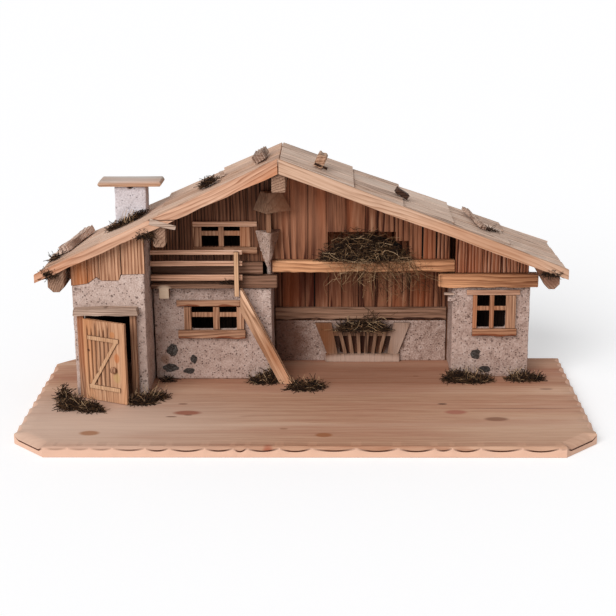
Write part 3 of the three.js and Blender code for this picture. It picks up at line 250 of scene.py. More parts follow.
def wood_finish(name, tones, grain, spacing=3.4, lines=0.5, fibre=0.4, drift=0.4, bands=(5, 16),
        boards=0.3, fibre_width=1.3, waver=1.0, knots=0.0, relief=0.4, ruddy=0.0,
        ruddy_tone=(206, 132, 84), bark=0.0, bark_tone=(84, 48, 28), carved_tone=None,
        cut_and_shade_tone=None, spots=(), light_shade_and_tone_washes=()):
    """Wood whose grain runs along one of the GRAIN_TURN directions. Sizes are in millimetres."""
    finish, tree, shader, place = new_finish(name, WOOD_ROUGHNESS)
    node, calc, vector = short_hands(tree)
    lying = node("ShaderNodeMapping", {"Vector": place, "Rotation": GRAIN_TURN[grain]})
    board = carried(tree, "board")
    wood = vector("ADD", lying, vector("SCALE", (2.3, 1.7, 3.1), scale=board))

    def stretched(along, across, detail, output="Fac"):
        squeezed = node("ShaderNodeMapping", {"Vector": wood, "Scale": (along, across, across)})
        values = {"Vector": squeezed, "Scale": 1.0, "Detail": detail}
        return add(tree, "ShaderNodeTexNoise", values).outputs[output]

    def bent(point, bend, millimetres):
        centred = vector("SUBTRACT", bend, (0.5, 0.5, 0.5))
        return vector("ADD", point, vector("SCALE", centred, scale=millimetres * MM))

    def weighed(value, weight):
        return calc("MULTIPLY", calc("SUBTRACT", value, 0.5), weight)

    hair = stretched(24, 760 / fibre_width, 3.0)
    streak = stretched(8, 230, 2.0)
    slow = stretched(bands[0], bands[1], 1.0)
    trunk = bent(wood, stretched(4.5, 22, 1.0, "Color"), 22 * waver)
    trunk = bent(trunk, stretched(20, 160, 1.0, "Color"), 3.2 * waver)
    trunk = vector("ADD", vector("MULTIPLY", trunk, (0, 1, 1)), (0, 0.075, 0.045))
    years = calc("DIVIDE", vector("LENGTH", trunk), spacing * MM)
    if knots:
        cells = node("ShaderNodeMapping", {"Vector": wood, "Scale": (9, 22, 22)})
        cell = add(tree, "ShaderNodeTexVoronoi", {"Vector": cells, "Scale": 1.0}).outputs
        chosen = calc("LESS_THAN", node("ShaderNodeSeparateColor", {"Color": cell["Color"]}), knots)
        swirl = ease(tree, cell["Distance"], 0.42, 0.05, 0.0, 2.2)
        years = calc("ADD", years, calc("MULTIPLY", swirl, chosen))
    ring = calc("FRACT", years)
    late = calc("MULTIPLY", calc("POWER", ring, 2.4), ease(tree, ring, 1.0, 0.86))
    late = calc("MULTIPLY", late, ease(tree, streak, 0.34, 0.62, 0.35, 1.15))

    tone = calc("MULTIPLY_ADD", late, -lines, 0.5 + 0.25 * lines)
    for value, weight in ((hair, fibre * 1.6), (streak, fibre * 1.1), (slow, drift * 1.6), (board, boards)):
        tone = calc("ADD", tone, weighed(value, weight))
    colour = ramp(tree, tone, [(0.06, tones[0]), (0.5, tones[1]), (0.92, tones[2])])
    # Soft washes: most are painted light and shade, a few are a plain change of tone.
    for middle, size, wash_tone, strength in light_shade_and_tone_washes:
        colour = spot(tree, place, colour, middle, size, wash_tone, strength, 0.1)
    if ruddy:
        warm = ease(tree, stretched(4, 30, 1.5), 0.48, 0.7, 0, ruddy)
        colour = blend(tree, warm, colour, paint(*ruddy_tone))
    if knots:
        core = ease(tree, cell["Distance"], 0.13, 0.07)
        halo = ease(tree, cell["Distance"], 0.2, 0.1, 0, 0.55)
        soft = paint(*(round(0.5 * (a + b)) for a, b in zip(KNOT_TONE, tones[1])))
        colour = blend(tree, calc("MULTIPLY", halo, chosen), colour, soft)
        colour = blend(tree, calc("MULTIPLY", core, chosen), colour, paint(*KNOT_TONE))
    for middle, size, spot_tone, strength in spots:
        colour = spot(tree, place, colour, middle, size, spot_tone, strength)
    if carved_tone:
        fresh = calc("MULTIPLY", carried(tree, "carved"), 0.85)
        colour = blend(tree, fresh, colour, paint(*carved_tone))
    if bark:
        edge = ease(tree, stretched(26, 60, 2.0), 0.3, 0.7, -0.6 * bark, 2.2 * bark)
        above = calc("SUBTRACT", carried(tree, "rise"), edge)
        colour = blend(tree, ease(tree, above, 0.7, -0.5, 0.0, 0.85), colour, paint(*bark_tone))
    # Darkens cuts, and also the places that are painted as shade.
    if cut_and_shade_tone:
        colour = blend(tree, carried(tree, "cut_and_shade"), colour, paint(*cut_and_shade_tone))
    dull = ease(tree, hair, 0.3, 0.7, WOOD_ROUGHNESS + 0.08, WOOD_ROUGHNESS - 0.08)
    tree.links.new(dull, shader.inputs["Roughness"])
    height = calc("ADD", weighed(hair, 0.9), weighed(streak, 0.8))
    settle(tree, shader, colour, 0.2, calc("MULTIPLY_ADD", late, 0.5, height), relief, 0.0014)
    return finish


BASE_SPOTS = [
    # middle, half sizes, tone, strength
    ((-152, -54, 14), (20, 9, 3), (150, 88, 68), 0.85), ((-171, -68, 14), (8, 2.5, 3), (96, 60, 44), 0.7),
    ((-150, -62, 14), (6, 2, 3), (104, 64, 48), 0.7), ((-161, -21, 14), (7, 3, 3), (118, 78, 58), 0.7),
    ((-266, -125, 14), (14, 9, 3), (160, 106, 70), 0.8), ((24, -131, 14), (12, 8, 3), (154, 96, 60), 0.85),
    ((-26, -110, 14), (6, 3, 3), (142, 98, 70), 0.6), ((178, -21, 14), (7, 2.6, 3), (52, 30, 20), 0.9),
    ((193, -51, 14), (16, 9, 3), (166, 100, 84), 0.75), ((242, -76, 14), (17, 8, 3), (122, 80, 60), 0.75),
    ((322, 37, 14), (10, 4, 3), (120, 88, 70), 0.6), ((278, -37, 14), (82, 1.3, 3), (96, 58, 42), 0.7),
    ((150, 90, 14), (5, 2, 3), (120, 78, 58), 0.6),
    ((-43, -166, 8), (9, 7, 8), (152, 78, 54), 0.75), ((221, -169, 4), (12, 4, 3), (150, 128, 120), 0.6),
]
# Washes over the top of the board: the paler ones at the front are a painted sheen, and the darker one at
# the back is painted shade.
BASE_SHEEN_AND_SHADE = [
    ((-300, -90, 14), (330, 150, 60), (216, 188, 170), 0.75),
    ((60, 120, 14), (420, 130, 60), (150, 100, 78), 0.6),
    ((300, -120, 14), (240, 90, 60), (204, 170, 146), 0.45),
]
DOOR_SPOTS = [
    ((-284.6, -5, 82.6), (2.2, 8, 2.2), (66, 30, 18), 0.95),
    ((-245, -22, 77), (4.5, 8, 7.5), (178, 104, 58), 0.7),
    ((-250, -20, 108), (4, 8, 5), (182, 116, 68), 0.65),
    ((-246, -22, 50), (6, 8, 8), (176, 150, 92), 0.45),
]
CAP_LOW, CAP_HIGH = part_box("chimney_cap")
CAP_MIDDLE, CAP_TOP = (CAP_LOW.x + CAP_HIGH.x) / 2 / MM, CAP_HIGH.z / MM
CORBEL_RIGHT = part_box("oriel_corbel")[1].x / MM
WOODS = {
    "board_pine": wood_finish("board_pine", [(160, 110, 84), (197, 155, 128), (216, 182, 158)], "x",
        spacing=6, lines=0.3, fibre=0.3, drift=0.7, bands=(0.9, 34), relief=0.12, fibre_width=2.0,
        waver=0.7, ruddy=0.35, ruddy_tone=(168, 112, 90), carved_tone=(220, 178, 154),
        cut_and_shade_tone=(74, 38, 22), spots=BASE_SPOTS, light_shade_and_tone_washes=BASE_SHEEN_AND_SHADE),
    "barge_left": wood_finish("barge_pine_left", [(138, 86, 58), (210, 164, 136), (234, 200, 176)],
        "left_slope", spacing=5.2, fibre=0.35, knots=0.1, relief=0.3, waver=1.5, ruddy=0.55,
        ruddy_tone=(196, 120, 76), bark=0.8),
    "barge_right": wood_finish("barge_pine_right", [(140, 96, 70), (202, 164, 138), (222, 190, 168)],
        "right_slope", spacing=5.2, lines=0.42, fibre=0.35, knots=0.06, relief=0.3, waver=1.3, ruddy=0.3,
        ruddy_tone=(200, 138, 98)),
    "deck_left": wood_finish("roof_planks_left", [(104, 74, 58), (194, 158, 136), (218, 190, 170)],
        "left_slope", spacing=4.5, lines=0.7, fibre=0.5, boards=0.35, knots=0.03, ruddy=0.3,
        ruddy_tone=(198, 148, 112)),
    "deck_right": wood_finish("roof_planks_right", [(116, 86, 70), (212, 182, 162), (226, 204, 188)],
        "right_slope", spacing=4.5, lines=0.6, fibre=0.5, boards=0.35, knots=0.02, ruddy=0.2,
        ruddy_tone=(202, 158, 128)),
    # Bay planks: the paler wash over the upper loft planks is painted light, and the darker washes at the
    # back on the left and behind the rack are painted shade.
    "bay": wood_finish("bay_planks", [(62, 26, 12), (150, 98, 70), (200, 152, 122)], "z", spacing=3.2,
        lines=0.9, fibre=0.55, boards=0.45, fibre_width=1.5, waver=0.35, relief=0.6, knots=0.02,
        ruddy=0.6, ruddy_tone=(158, 84, 48), cut_and_shade_tone=(16, 9, 7),
        light_shade_and_tone_washes=[((-10, 90, 250), (80, 40, 70), (178, 120, 90), 0.55),
        ((0, 150, 130), (90, 50, 60), (84, 32, 16), 0.75),
        ((77, 165, 44), (64, 14, 34), (52, 24, 14), 0.95)]),
    "tower": wood_finish("tower_planks", [(116, 68, 42), (212, 163, 130), (236, 200, 172)], "z",
        spacing=4.2, fibre=0.45, boards=0.5, fibre_width=1.5, waver=0.4, relief=0.5, ruddy=0.6,
        ruddy_tone=(194, 118, 68), cut_and_shade_tone=(40, 22, 14)),
    "gable": wood_finish("right_gable_planks", [(60, 22, 10), (158, 98, 68), (206, 160, 132)], "z",
        spacing=3.8, lines=1.2, fibre=0.5, fibre_width=1.8, waver=0.5, relief=0.9, ruddy=0.4,
        ruddy_tone=(150, 76, 42), cut_and_shade_tone=(28, 12, 6)),
    # House planks: the dark wash along their foot is painted shade.
    "house": wood_finish("house_planks", [(44, 22, 12), (118, 76, 54), (160, 116, 88)], "z", lines=0.8,
        fibre=0.5, fibre_width=1.5, waver=0.35, relief=0.6, cut_and_shade_tone=(22, 12, 8),
        light_shade_and_tone_washes=[((-140, 85, 179), (110, 40, 17), (52, 28, 18), 0.9)]),
    "beam": wood_finish("golden_beam", [(116, 66, 38), (214, 156, 114), (236, 194, 156)], "x",
        spacing=4.6, lines=0.4, knots=0.06, waver=1.3, ruddy=0.4, ruddy_tone=(190, 116, 68), bark=1.2),
    "rail": wood_finish("pale_rail", [(122, 80, 58), (212, 166, 138), (232, 200, 178)], "x", waver=0.6,
        ruddy=0.2, ruddy_tone=(196, 132, 92)),
    "sill": wood_finish("waney_sill", [(92, 56, 38), (166, 122, 95), (202, 162, 132)], "x", spacing=3.2,
        lines=0.55, fibre=0.45, waver=0.8, ruddy=0.4, ruddy_tone=(192, 124, 78), bark=2.0,
        bark_tone=(112, 54, 26)),
    # Logs: the dark wash over them, behind the balcony, is painted shade.
    "log": wood_finish("dull_log", [(64, 40, 28), (130, 94, 74), (164, 128, 108)], "x", spacing=4.0,
        lines=0.4, fibre=0.5, relief=0.5, boards=0.2, bark=1.2, bark_tone=(58, 32, 20),
        light_shade_and_tone_washes=[((-160, 80, 167), (84, 50, 16), (56, 32, 22), 0.85)]),
    "bay_rail": wood_finish("bay_rail_wood", [(78, 50, 36), (156, 118, 95), (188, 154, 132)], "x",
        spacing=4.0, lines=0.45, fibre=0.5, relief=0.5, waver=0.9, bark=2.2, bark_tone=(52, 28, 18)),
    "balcony": wood_finish("balcony_wood", [(66, 40, 28), (130, 96, 76), (168, 134, 112)], "x",
        spacing=4.0, lines=0.4, fibre=0.45, relief=0.5,
        spots=[((-191, 60, 141), (13, 5, 13), (222, 196, 170), 0.9)]),
    "post": wood_finish("upright_wood", [(92, 54, 34), (168, 124, 96), (204, 166, 138)], "z", lines=0.6,
        fibre=0.45, relief=0.5, waver=0.7, ruddy=0.45, ruddy_tone=(176, 102, 58)),
    # Rack: the dark wash on its left board is painted shade; its right board gets a paler grey tone.
    "rack": wood_finish("rack_wood", [(62, 40, 28), (134, 100, 78), (172, 140, 118)], "z", fibre=0.5,
        relief=0.5, waver=0.7, spots=[((77, 150, 14), (90, 40, 13), (176, 148, 132), 0.9)],
        light_shade_and_tone_washes=[((22, 155, 48), (25, 20, 60), (116, 70, 42), 0.95),
        ((133, 155, 48), (25, 20, 60), (166, 138, 122), 0.95)]),
    "door": wood_finish("door_wood", [(128, 78, 46), (202, 156, 122), (226, 188, 156)], "z", spacing=4.4,
        lines=0.4, fibre=0.35, relief=0.35, waver=1.4, ruddy=0.4, ruddy_tone=(200, 132, 82),
        cut_and_shade_tone=(70, 34, 18), spots=DOOR_SPOTS),
    "brace": wood_finish("brace_wood", [(142, 96, 64), (210, 168, 132), (232, 198, 164)], "z",
        spacing=3.0, lines=0.3, fibre=0.35, relief=0.3, cut_and_shade_tone=(66, 34, 18)),
    "stair": wood_finish("stair_wood", [(136, 94, 66), (226, 181, 148), (242, 210, 182)], "stair",
        spacing=4.4, lines=0.45, knots=0.05, waver=0.8, ruddy=0.45, ruddy_tone=(184, 112, 68)),
    "rafter": wood_finish("purlin_wood", [(92, 62, 44), (168, 132, 110), (204, 170, 148)], "y",
        relief=0.5, spots=[((316, -3, 184), (18, 14, 20), (112, 72, 54), 0.7)]),
    # Turret roof: the darker wash on its right side is painted shade.
    "turret": wood_finish("turret_roof_wood", [(104, 76, 60), (178, 142, 116), (202, 170, 148)], "z",
        spacing=4.0, lines=0.3,
        light_shade_and_tone_washes=[((CORBEL_RIGHT + 8, 60, 270), (34, 60, 60), (128, 80, 54), 0.85)]),
    "cap": wood_finish("chimney_cap_wood", [(104, 72, 54), (182, 150, 126), (206, 180, 160)], "x",
        spacing=3.0, lines=0.7, ruddy=0.25,
        light_shade_and_tone_washes=[((CAP_MIDDLE, 120, CAP_TOP), (90, 90, 4.5), (204, 196, 190), 0.8)]),
    "bark": wood_finish("bark", [(30, 18, 12), (66, 42, 30), (108, 80, 62)], "x", spacing=3.0, lines=0.4,
        fibre=0.6, relief=0.9),
    "grey": wood_finish("weathered_chunk", [(112, 84, 68), (192, 164, 146), (216, 196, 180)], "x",
        spacing=3.0, fibre=0.5, relief=0.8, cut_and_shade_tone=(92, 58, 42)),
    "pale_bark": wood_finish("pale_bark", [(150, 116, 98), (222, 192, 174), (240, 218, 204)], "y",
        spacing=3.0, lines=0.6, fibre=0.6, relief=0.9, cut_and_shade_tone=(104, 70, 54)),
}
print("kinds of wood:", len(WOODS))

# %% [markdown]
# ## Plaster, lime and stone
# The walls are covered in a coarse sand plaster, pinkish grey, with small dark pores where grains fell out.
# The pores are Voronoi cells of which only some are kept. The same pattern sinks the surface, so a pore is
# both dark and deep. The chimney's lime wash is whiter and smoother. The few stones that show in the
# plaster are dark slate with pale scratches.

# %% Mineral finishes
def plaster_finish(name, tones, pore_tone, pores=0.3, relief=0.7, spots=()):
    finish, tree, shader, place = new_finish(name, 0.92)
    node, calc, _ = short_hands(tree)

    def patches(scale, detail, weight):
        patch = node("ShaderNodeTexNoise", {"Vector": place, "Scale": scale, "Detail": detail})
        return calc("MULTIPLY", calc("SUBTRACT", patch, 0.5), weight)

    def holes(cells, share, outer, inner):
        cell = add(tree, "ShaderNodeTexVoronoi", {"Vector": place, "Scale": cells}).outputs
        kept = calc("LESS_THAN", node("ShaderNodeSeparateColor", {"Color": cell["Color"]}), share)
        return calc("MULTIPLY", ease(tree, cell["Distance"], outer, inner), kept)

    stain = patches(16, 2, 0.45)
    lumps = patches(100, 3, 0.7)
    sand = patches(540, 2, 1.1)
    pore = calc("MAXIMUM", holes(360, pores, 0.46, 0.2), holes(150, 0.1, 0.34, 0.16))
    tone = calc("ADD", calc("ADD", stain, 0.5), calc("ADD", lumps, sand))
    colour = ramp(tree, tone, [(0.14, tones[0]), (0.5, tones[1]), (0.86, tones[2])])
    for middle, size, spot_tone, strength in spots:
        colour = spot(tree, place, colour, middle, size, spot_tone, strength)
    colour = blend(tree, calc("MULTIPLY", pore, 0.68), colour, paint(*pore_tone))
    height = calc("ADD", calc("MULTIPLY", lumps, 2.0), calc("MULTIPLY", sand, 0.7))
    height = calc("SUBTRACT", height, calc("MULTIPLY", pore, 0.9))
    settle(tree, shader, colour, 0.15, height, relief, 0.0015)
    return finish


# The pale wash over the left tower's front is painted light, and the darker washes over the house wall and
# the right tower are painted shade.
PLASTER = plaster_finish("sand_plaster", [(132, 108, 97), (182, 157, 146), (212, 192, 182)], (78, 56, 48),
        spots=[((-195, 77, 43), (7, 6, 8), (140, 96, 66), 0.6),
        ((-250, 0, 70), (70, 40, 130), (204, 180, 168), 0.35),
        ((-122, 77, 60), (90, 30, 90), (156, 128, 116), 0.35),
        ((250, 90, 60), (80, 40, 90), (154, 126, 114), 0.35)])
# The bay's plaster is the sand plaster made darker as painted shade, for its place deep in the bay; it is
# darker still, as painted shade, on the left and behind the rack.
SHADED_BAY_PLASTER = plaster_finish("bay_plaster_painted_shade", [(118, 92, 80), (164, 138, 126), (198, 176, 166)], (84, 60, 50),
        pores=0.2, spots=[((-60, 150, 40), (70, 60, 70), (100, 62, 46), 0.8),
        ((77.5, 160, 46), (62, 13, 36), (46, 24, 15), 0.98)])
# The dark spot on the corbel's right side is painted shade.
CORBEL_PLASTER = plaster_finish("corbel_plaster", [(124, 98, 84), (178, 152, 138), (208, 186, 174)],
        (78, 56, 48), spots=[((CORBEL_RIGHT, 60, 220), (15, 60, 60), (104, 66, 46), 0.9)])
LIME = plaster_finish("lime_wash", [(172, 162, 164), (208, 198, 200), (228, 220, 222)], (112, 102, 104),
        pores=0.14, relief=0.5)
SLATE = plaster_finish("slate", [(38, 32, 30), (64, 56, 52), (104, 100, 96)], (20, 14, 12), pores=0.08,
        relief=0.8)
print("mineral finishes:", PLASTER.name, LIME.name, SLATE.name)

# %% [markdown]
# ## Hay, moss and wire
# Hay and moss are heaps of thin strands. Light passes a little through real blades, and each blade has its
# own tone, so a strand carries a number called "tone" that picks its colour from a ramp. The door turns on
# a bent steel wire, dull from handling.

# %% Strand and wire finishes
def strand_finish(name, tones):
    finish, tree, shader, place = new_finish(name, 0.8)
    node, calc, _ = short_hands(tree)
    fleck = node("ShaderNodeTexNoise", {"Vector": place, "Scale": 260.0, "Detail": 2.0})
    mixed = calc("MULTIPLY_ADD", fleck, 0.2, calc("MULTIPLY", carried(tree, "tone"), 0.42))
    colour = ramp(tree, mixed, list(zip((0.06, 0.3, 0.5, 0.6, 0.9), tones)))
    settle(tree, shader, colour, 0.2, fleck, 0.5, 0.0005)
    return finish


GROWTH = strand_finish("dry_growth", [
    (14, 8, 6), (42, 25, 15), (82, 57, 35), (138, 106, 74), (200, 168, 132)])


def wire_finish():
    finish, tree, shader, place = new_finish("steel_wire", 0.4)
    haze = add(tree, "ShaderNodeTexNoise", {"Vector": place, "Scale": 400.0, "Detail": 3.0}).outputs[0]
    colour = ramp(tree, haze, [(0.3, (120, 112, 106)), (0.7, (176, 170, 164))])
    tree.links.new(colour, shader.inputs["Base Color"])
    tree.links.new(ease(tree, haze, 0.3, 0.7, 0.3, 0.55), shader.inputs["Roughness"])
    shader.inputs["Metallic"].default_value = 1
    return finish


WIRE = wire_finish()
print("strand finish:", GROWTH.name)

# %% [markdown]
# ## From a measured solid to a worked piece
# A measured solid has perfect edges, and no hand-cut wood has. So the edges of a copy are broken, the copy
# is cut across into short lengths, and a slow noise presses the skin in. Pressing in, never out, keeps
# each piece in its measured place. Long waves along the grain look cut by hand, and short ones look
# dented. The foot of a sill or rail that follows the tree's own edge is hewn in a wave.

# %% Working a timber
BRACE_SHADE = 0.85
SHARP_FROM = math.radians(28)
WANE_HEIGHT = 6.5
DOOR_PIECES = ("door_leaf", "door_brace", "door_knob")
AXES = (Vector((1, 0, 0)), Vector((0, 1, 0)), Vector((0, 0, 1)))


def body_of(node):
    return "door" if node in DOOR_PIECES else "stable"


def plain_mesh(name, shape):
    """The mesh that a shape has now. The shape is given up."""
    mesh = bpy.data.meshes.new(name)
    shape.to_mesh(mesh)
    shape.free()
    return mesh


def all_of(shape):
    return shape.verts[:] + shape.edges[:] + shape.faces[:]


def joined_copy(node):
    """A copy of a measured solid with its triangles joined and its flat faces whole."""
    shape = bmesh.new()
    shape.from_mesh(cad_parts[node].data)
    bmesh.ops.remove_doubles(shape, verts=shape.verts[:], dist=SAME_PLACE)
    bmesh.ops.dissolve_limit(shape, angle_limit=math.radians(1), verts=shape.verts[:], edges=shape.edges[:])
    return shape


def break_edges(shape, width, segments=2):
    sharp = [e for e in shape.edges if e.is_manifold and e.calc_face_angle(0) > SHARP_FROM]
    bmesh.ops.bevel(shape, geom=sharp, offset=width * MM, segments=segments, profile=0.6,
            affect="EDGES", clamp_overlap=True)


def span(shape):
    corners = [[v.co[axis] for v in shape.verts] for axis in range(3)]
    return Vector(map(min, corners)), Vector(map(max, corners))


def cut_across(shape, spacing):
    """Cuts the skin along planes that stand spacing millimetres apart on each axis."""
    low, high = span(shape)
    for axis in range(3):
        length = (high[axis] - low[axis]) / MM
        count = int(length / spacing[axis])
        for n in range(count):
            place = low.lerp(high, (n + 0.5) / count)
            bmesh.ops.bisect_plane(shape, geom=all_of(shape), dist=1e-6, plane_co=place,
                    plane_no=AXES[axis])


def swell(place):
    """A smooth noise from 0 to 1."""
    return 0.5 + 0.5 * noise.noise(place)


def moved(x, y, z):
    """A shift, given in millimetres."""
    return Matrix.Translation(Vector((x, y, z)) * MM)


def press_in(shape, depth, grain_axis, seed, wave):
    """Pushes every point inwards, in waves that are long along the grain."""
    shape.normal_update()
    squeeze = Vector((1, 1, 1)) / wave
    squeeze[grain_axis] *= 0.45
    for vert in shape.verts:
        here = vert.co / MM
        here = Vector((here.x * squeeze.x, here.y * squeeze.y, here.z * squeeze.z))
        here += vert.normal * 1.3 + Vector((seed, 0, seed * 0.5))
        vert.co -= vert.normal * depth * MM * (0.75 * swell(here) + 0.25 * swell(here * 4.7))


def hew_foot(shape, wane, seed):
    """Raises the lower front edge in uneven waves, as a board keeps them where its bark came off."""
    low, high = span(shape)
    for vert in shape.verts:
        near_foot = max(0.0, 1 - (vert.co.z - low.z) / (WANE_HEIGHT * MM))
        if near_foot > 0 and vert.co.y < (low.y + high.y) / 2:
            wave = 0.5 + 0.9 * noise.noise(Vector((vert.co.x / MM / 21, seed, 0)))
            vert.co.z += wane * MM * max(0.0, min(1.0, wave)) * near_foot


def mark_rise(shape):
    """Writes on each point how many millimetres it stands above the lowest one."""
    rise = shape.verts.layers.float.new("rise")
    low = span(shape)[0].z
    for vert in shape.verts:
        vert[rise] = (vert.co.z - low) / MM


def finish_piece(name, shape, finish, body, stands_for, crease=38):
    """Turns a shape into an object that rides on its body and stands for its measured nodes."""
    mesh = plain_mesh(name, shape)
    mesh.materials.clear()
    mesh.materials.append(finish)
    mesh.shade_smooth()
    mesh.set_sharp_from_angle(angle=math.radians(crease))
    piece = bpy.data.objects.new(name, mesh)
    scene.collection.objects.link(piece)
    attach(piece, body)
    if stands_for:
        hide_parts(*stands_for)
    return piece


def worked_timber(node, finish, grain_axis, spacing, depth, edge, wave, wane=0.0):
    """A timber in its measured place with broken edges and a hand-cut skin."""
    shape = joined_copy(node)
    seed = len(node) + sum(map(ord, node)) % 17
    break_edges(shape, edge)
    cut_across(shape, spacing)
    mark_rise(shape)
    press_in(shape, depth, grain_axis, seed, wave)
    if wane:
        hew_foot(shape, wane, seed)
    # A brace's side faces are painted dark as the shade along its edges.
    if finish == "brace":
        cut_and_shade = shape.verts.layers.float.new("cut_and_shade")
        shape.normal_update()
        for vert in shape.verts:
            vert[cut_and_shade] = BRACE_SHADE if abs(vert.normal.y) < 0.8 else 0.0
    return finish_piece(node + "_worked", shape, WOODS[finish], body_of(node), [node])


TIMBERS = [
    # node, wood, grain axis, spacing of the cuts, depth of the skin, broken edge, wave, waney foot
    ("door_lintel", "grey", 0, (4, 4, 2.5), 1.2, 1.2, 28, 1.6),
    ("door_jamb_left", "post", 2, (4, 4, 8), 0.6, 0.7, 30),
    ("door_jamb_right", "post", 2, (4, 4, 8), 0.8, 0.8, 26),
    ("house_lower_log", "log", 0, (8, 4, 4), 1.6, 2.0, 40),
    ("house_upper_log", "log", 0, (8, 4, 4), 1.6, 2.0, 44),
    ("lower_window_lintel", "sill", 0, (4, 3, 2.5), 1.0, 1.0, 26, 1.0),
    ("lower_window_sill", "sill", 0, (4, 3, 2.5), 1.2, 1.2, 30, 3.2),
    ("lower_window_casement", "post", 2, (5, 3, 5), 0.6, 0.7, 22),
    ("upper_window_lintel", "rail", 0, (5, 3, 3), 1.0, 1.0, 26),
    ("upper_window_sill", "sill", 0, (4, 3, 2.5), 1.0, 1.2, 26, 2.0),
    ("upper_window_casement", "post", 2, (5, 3, 5), 0.6, 0.7, 22),
    ("right_window_lintel", "rail", 0, (5, 3, 3), 0.9, 1.0, 26),
    ("right_window_sill", "sill", 0, (4, 3, 2.5), 1.0, 1.1, 26, 2.6),
    ("right_window_casement", "post", 2, (5, 3, 5), 0.6, 0.7, 22),
    ("balcony_floor", "balcony", 0, (8, 5, 5), 0.8, 0.8, 36),
    ("balcony_post", "brace", 2, (3, 3, 6), 0.8, 0.8, 26),
    ("balcony_rail_bottom", "rail", 0, (7, 3, 3), 0.9, 0.9, 36),
    ("balcony_rail_middle", "rail", 0, (7, 3, 3), 1.0, 0.9, 30),
    ("balcony_rail_top", "rail", 0, (7, 3, 3), 1.0, 0.9, 34),
    ("stair_near_stringer", "stair", 2, (7, 3, 8), 0.9, 0.8, 40),
    ("stair_far_stringer", "stair", 2, (8, 6, 8), 0.6, 0.5, 40),
    ("oriel_post", "post", 2, (3, 3, 5), 0.8, 1.2, 20),
    ("oriel_roof", "turret", 2, (6, 6, 5), 0.8, 0.6, 26),
    ("back_wall_rail", "bay_rail", 0, (5, 4, 2.5), 1.0, 1.0, 40, 5.0),
    ("hay_rack", "rack", 2, (6, 4, 6), 0.6, 0.5, 30),
    ("loft_beam", "beam", 0, (5, 4, 2.5), 1.6, 1.4, 44, 3.0),
    ("right_tower_beam", "beam", 0, (5, 4, 2.5), 1.8, 2.6, 42, 2.0),
    ("left_barge_board_upper", "barge_left", 0, (6, 4, 5), 1.0, 0.9, 50),
    ("left_barge_board_lower", "barge_left", 0, (6, 4, 5), 1.0, 0.9, 50),
    ("right_barge_board", "barge_right", 0, (7, 4, 5), 1.0, 0.9, 54),
    ("ridge_purlin", "rafter", 1, (4, 12, 4), 1.0, 1.2, 40),
    ("middle_purlin", "rafter", 1, (3, 5, 4), 1.2, 1.4, 26),
    ("left_eave_purlin", "rafter", 1, (4, 12, 4), 1.2, 1.4, 34),
    ("right_eave_purlin", "rafter", 1, (4, 10, 4), 1.2, 1.4, 34),
    ("chimney_cap", "cap", 0, (6, 6, 4), 0.8, 1.6, 30),
    ("door_brace", "brace", 2, (2, 3, 3), 0.3, 0.5, 22),
]
for row in TIMBERS:
    worked_timber(*row)
print("worked timbers:", len(TIMBERS))

# %% [markdown]
# ## Lumpy plaster walls
# Trowelled plaster has no sharp corner. A voxel remesh turns each wall into small even squares, a few
# rounds of smoothing melt the corners, and two noises then sink the skin: one as wide as a trowel stroke,
# one as fine as grit. Sinking is sideways only, so the foot of a wall stays on the board.

# %% Plaster pieces
def worked_out(blank, *spare):
    """The plain mesh that an object has with its modifiers. All the objects given are used up."""
    graph = bpy.context.evaluated_depsgraph_get()
    mesh = bpy.data.meshes.new_from_object(blank.evaluated_get(graph))
    for used in (blank, *spare):
        bpy.data.objects.remove(used)
    return mesh


def on_the_bench(name, mesh):
    """A helper object that is used up while a piece is made."""
    piece = bpy.data.objects.new(name, mesh)
    scene.collection.objects.link(piece)
    return piece


TROWEL_DEPTH, GRIT_DEPTH = 1.3, 0.5
MELTING_ROUNDS = 5


def plastered(node, finish, voxel):
    blank = on_the_bench(node + "_blank", plain_mesh(node, joined_copy(node)))
    remesh = blank.modifiers.new("voxels", "REMESH")
    remesh.mode = "VOXEL"
    remesh.voxel_size = voxel * MM
    smooth = blank.modifiers.new("melt", "SMOOTH")
    smooth.iterations = MELTING_ROUNDS
    smooth.factor = 0.5
    shape = bmesh.new()
    shape.from_mesh(worked_out(blank))
    shape.normal_update()
    seed = sum(map(ord, node)) % 23
    for vert in shape.verts:
        spot = vert.co / MM
        stroke = swell(spot / 17 + Vector((seed, 0, 0)))
        grain = swell(spot / 3.6 + Vector((0, seed, 0)))
        sideways = Vector((vert.normal.x, vert.normal.y, 0))
        vert.co -= sideways * MM * (TROWEL_DEPTH * stroke + GRIT_DEPTH * grain)
    return finish_piece(node + "_coat", shape, finish, "stable", [node], 180)


PLASTERED = [
    ("left_tower_front_wall", PLASTER, 1.6), ("left_tower_left_wall", PLASTER, 2.4),
    ("left_tower_right_wall", PLASTER, 2.0), ("house_front_wall", PLASTER, 1.7),
    ("house_right_wall", PLASTER, 2.4),
    ("back_wall_plaster", SHADED_BAY_PLASTER, 1.3), ("right_tower_front_wall", PLASTER, 1.6),
    ("right_tower_left_wall", PLASTER, 2.4), ("right_tower_right_wall", PLASTER, 2.4),
    ("oriel_corbel", CORBEL_PLASTER, 1.2), ("chimney_stack", LIME, 1.3),
]
for row in PLASTERED:
    plastered(*row)
print("plastered pieces:", len(PLASTERED))

# %% [markdown]
# ## Planks side by side, with Geometry Nodes
# Gables, the back wall and the roof are all planks laid side by side, so one node tree grows them flat on
# the bench. Points get random widths, the running sum of the widths gives each its place, and a block
# stands on each point. Set back, length and the number "board" differ from plank to plank. The tree ends
# by making the blocks real and giving them their wood.

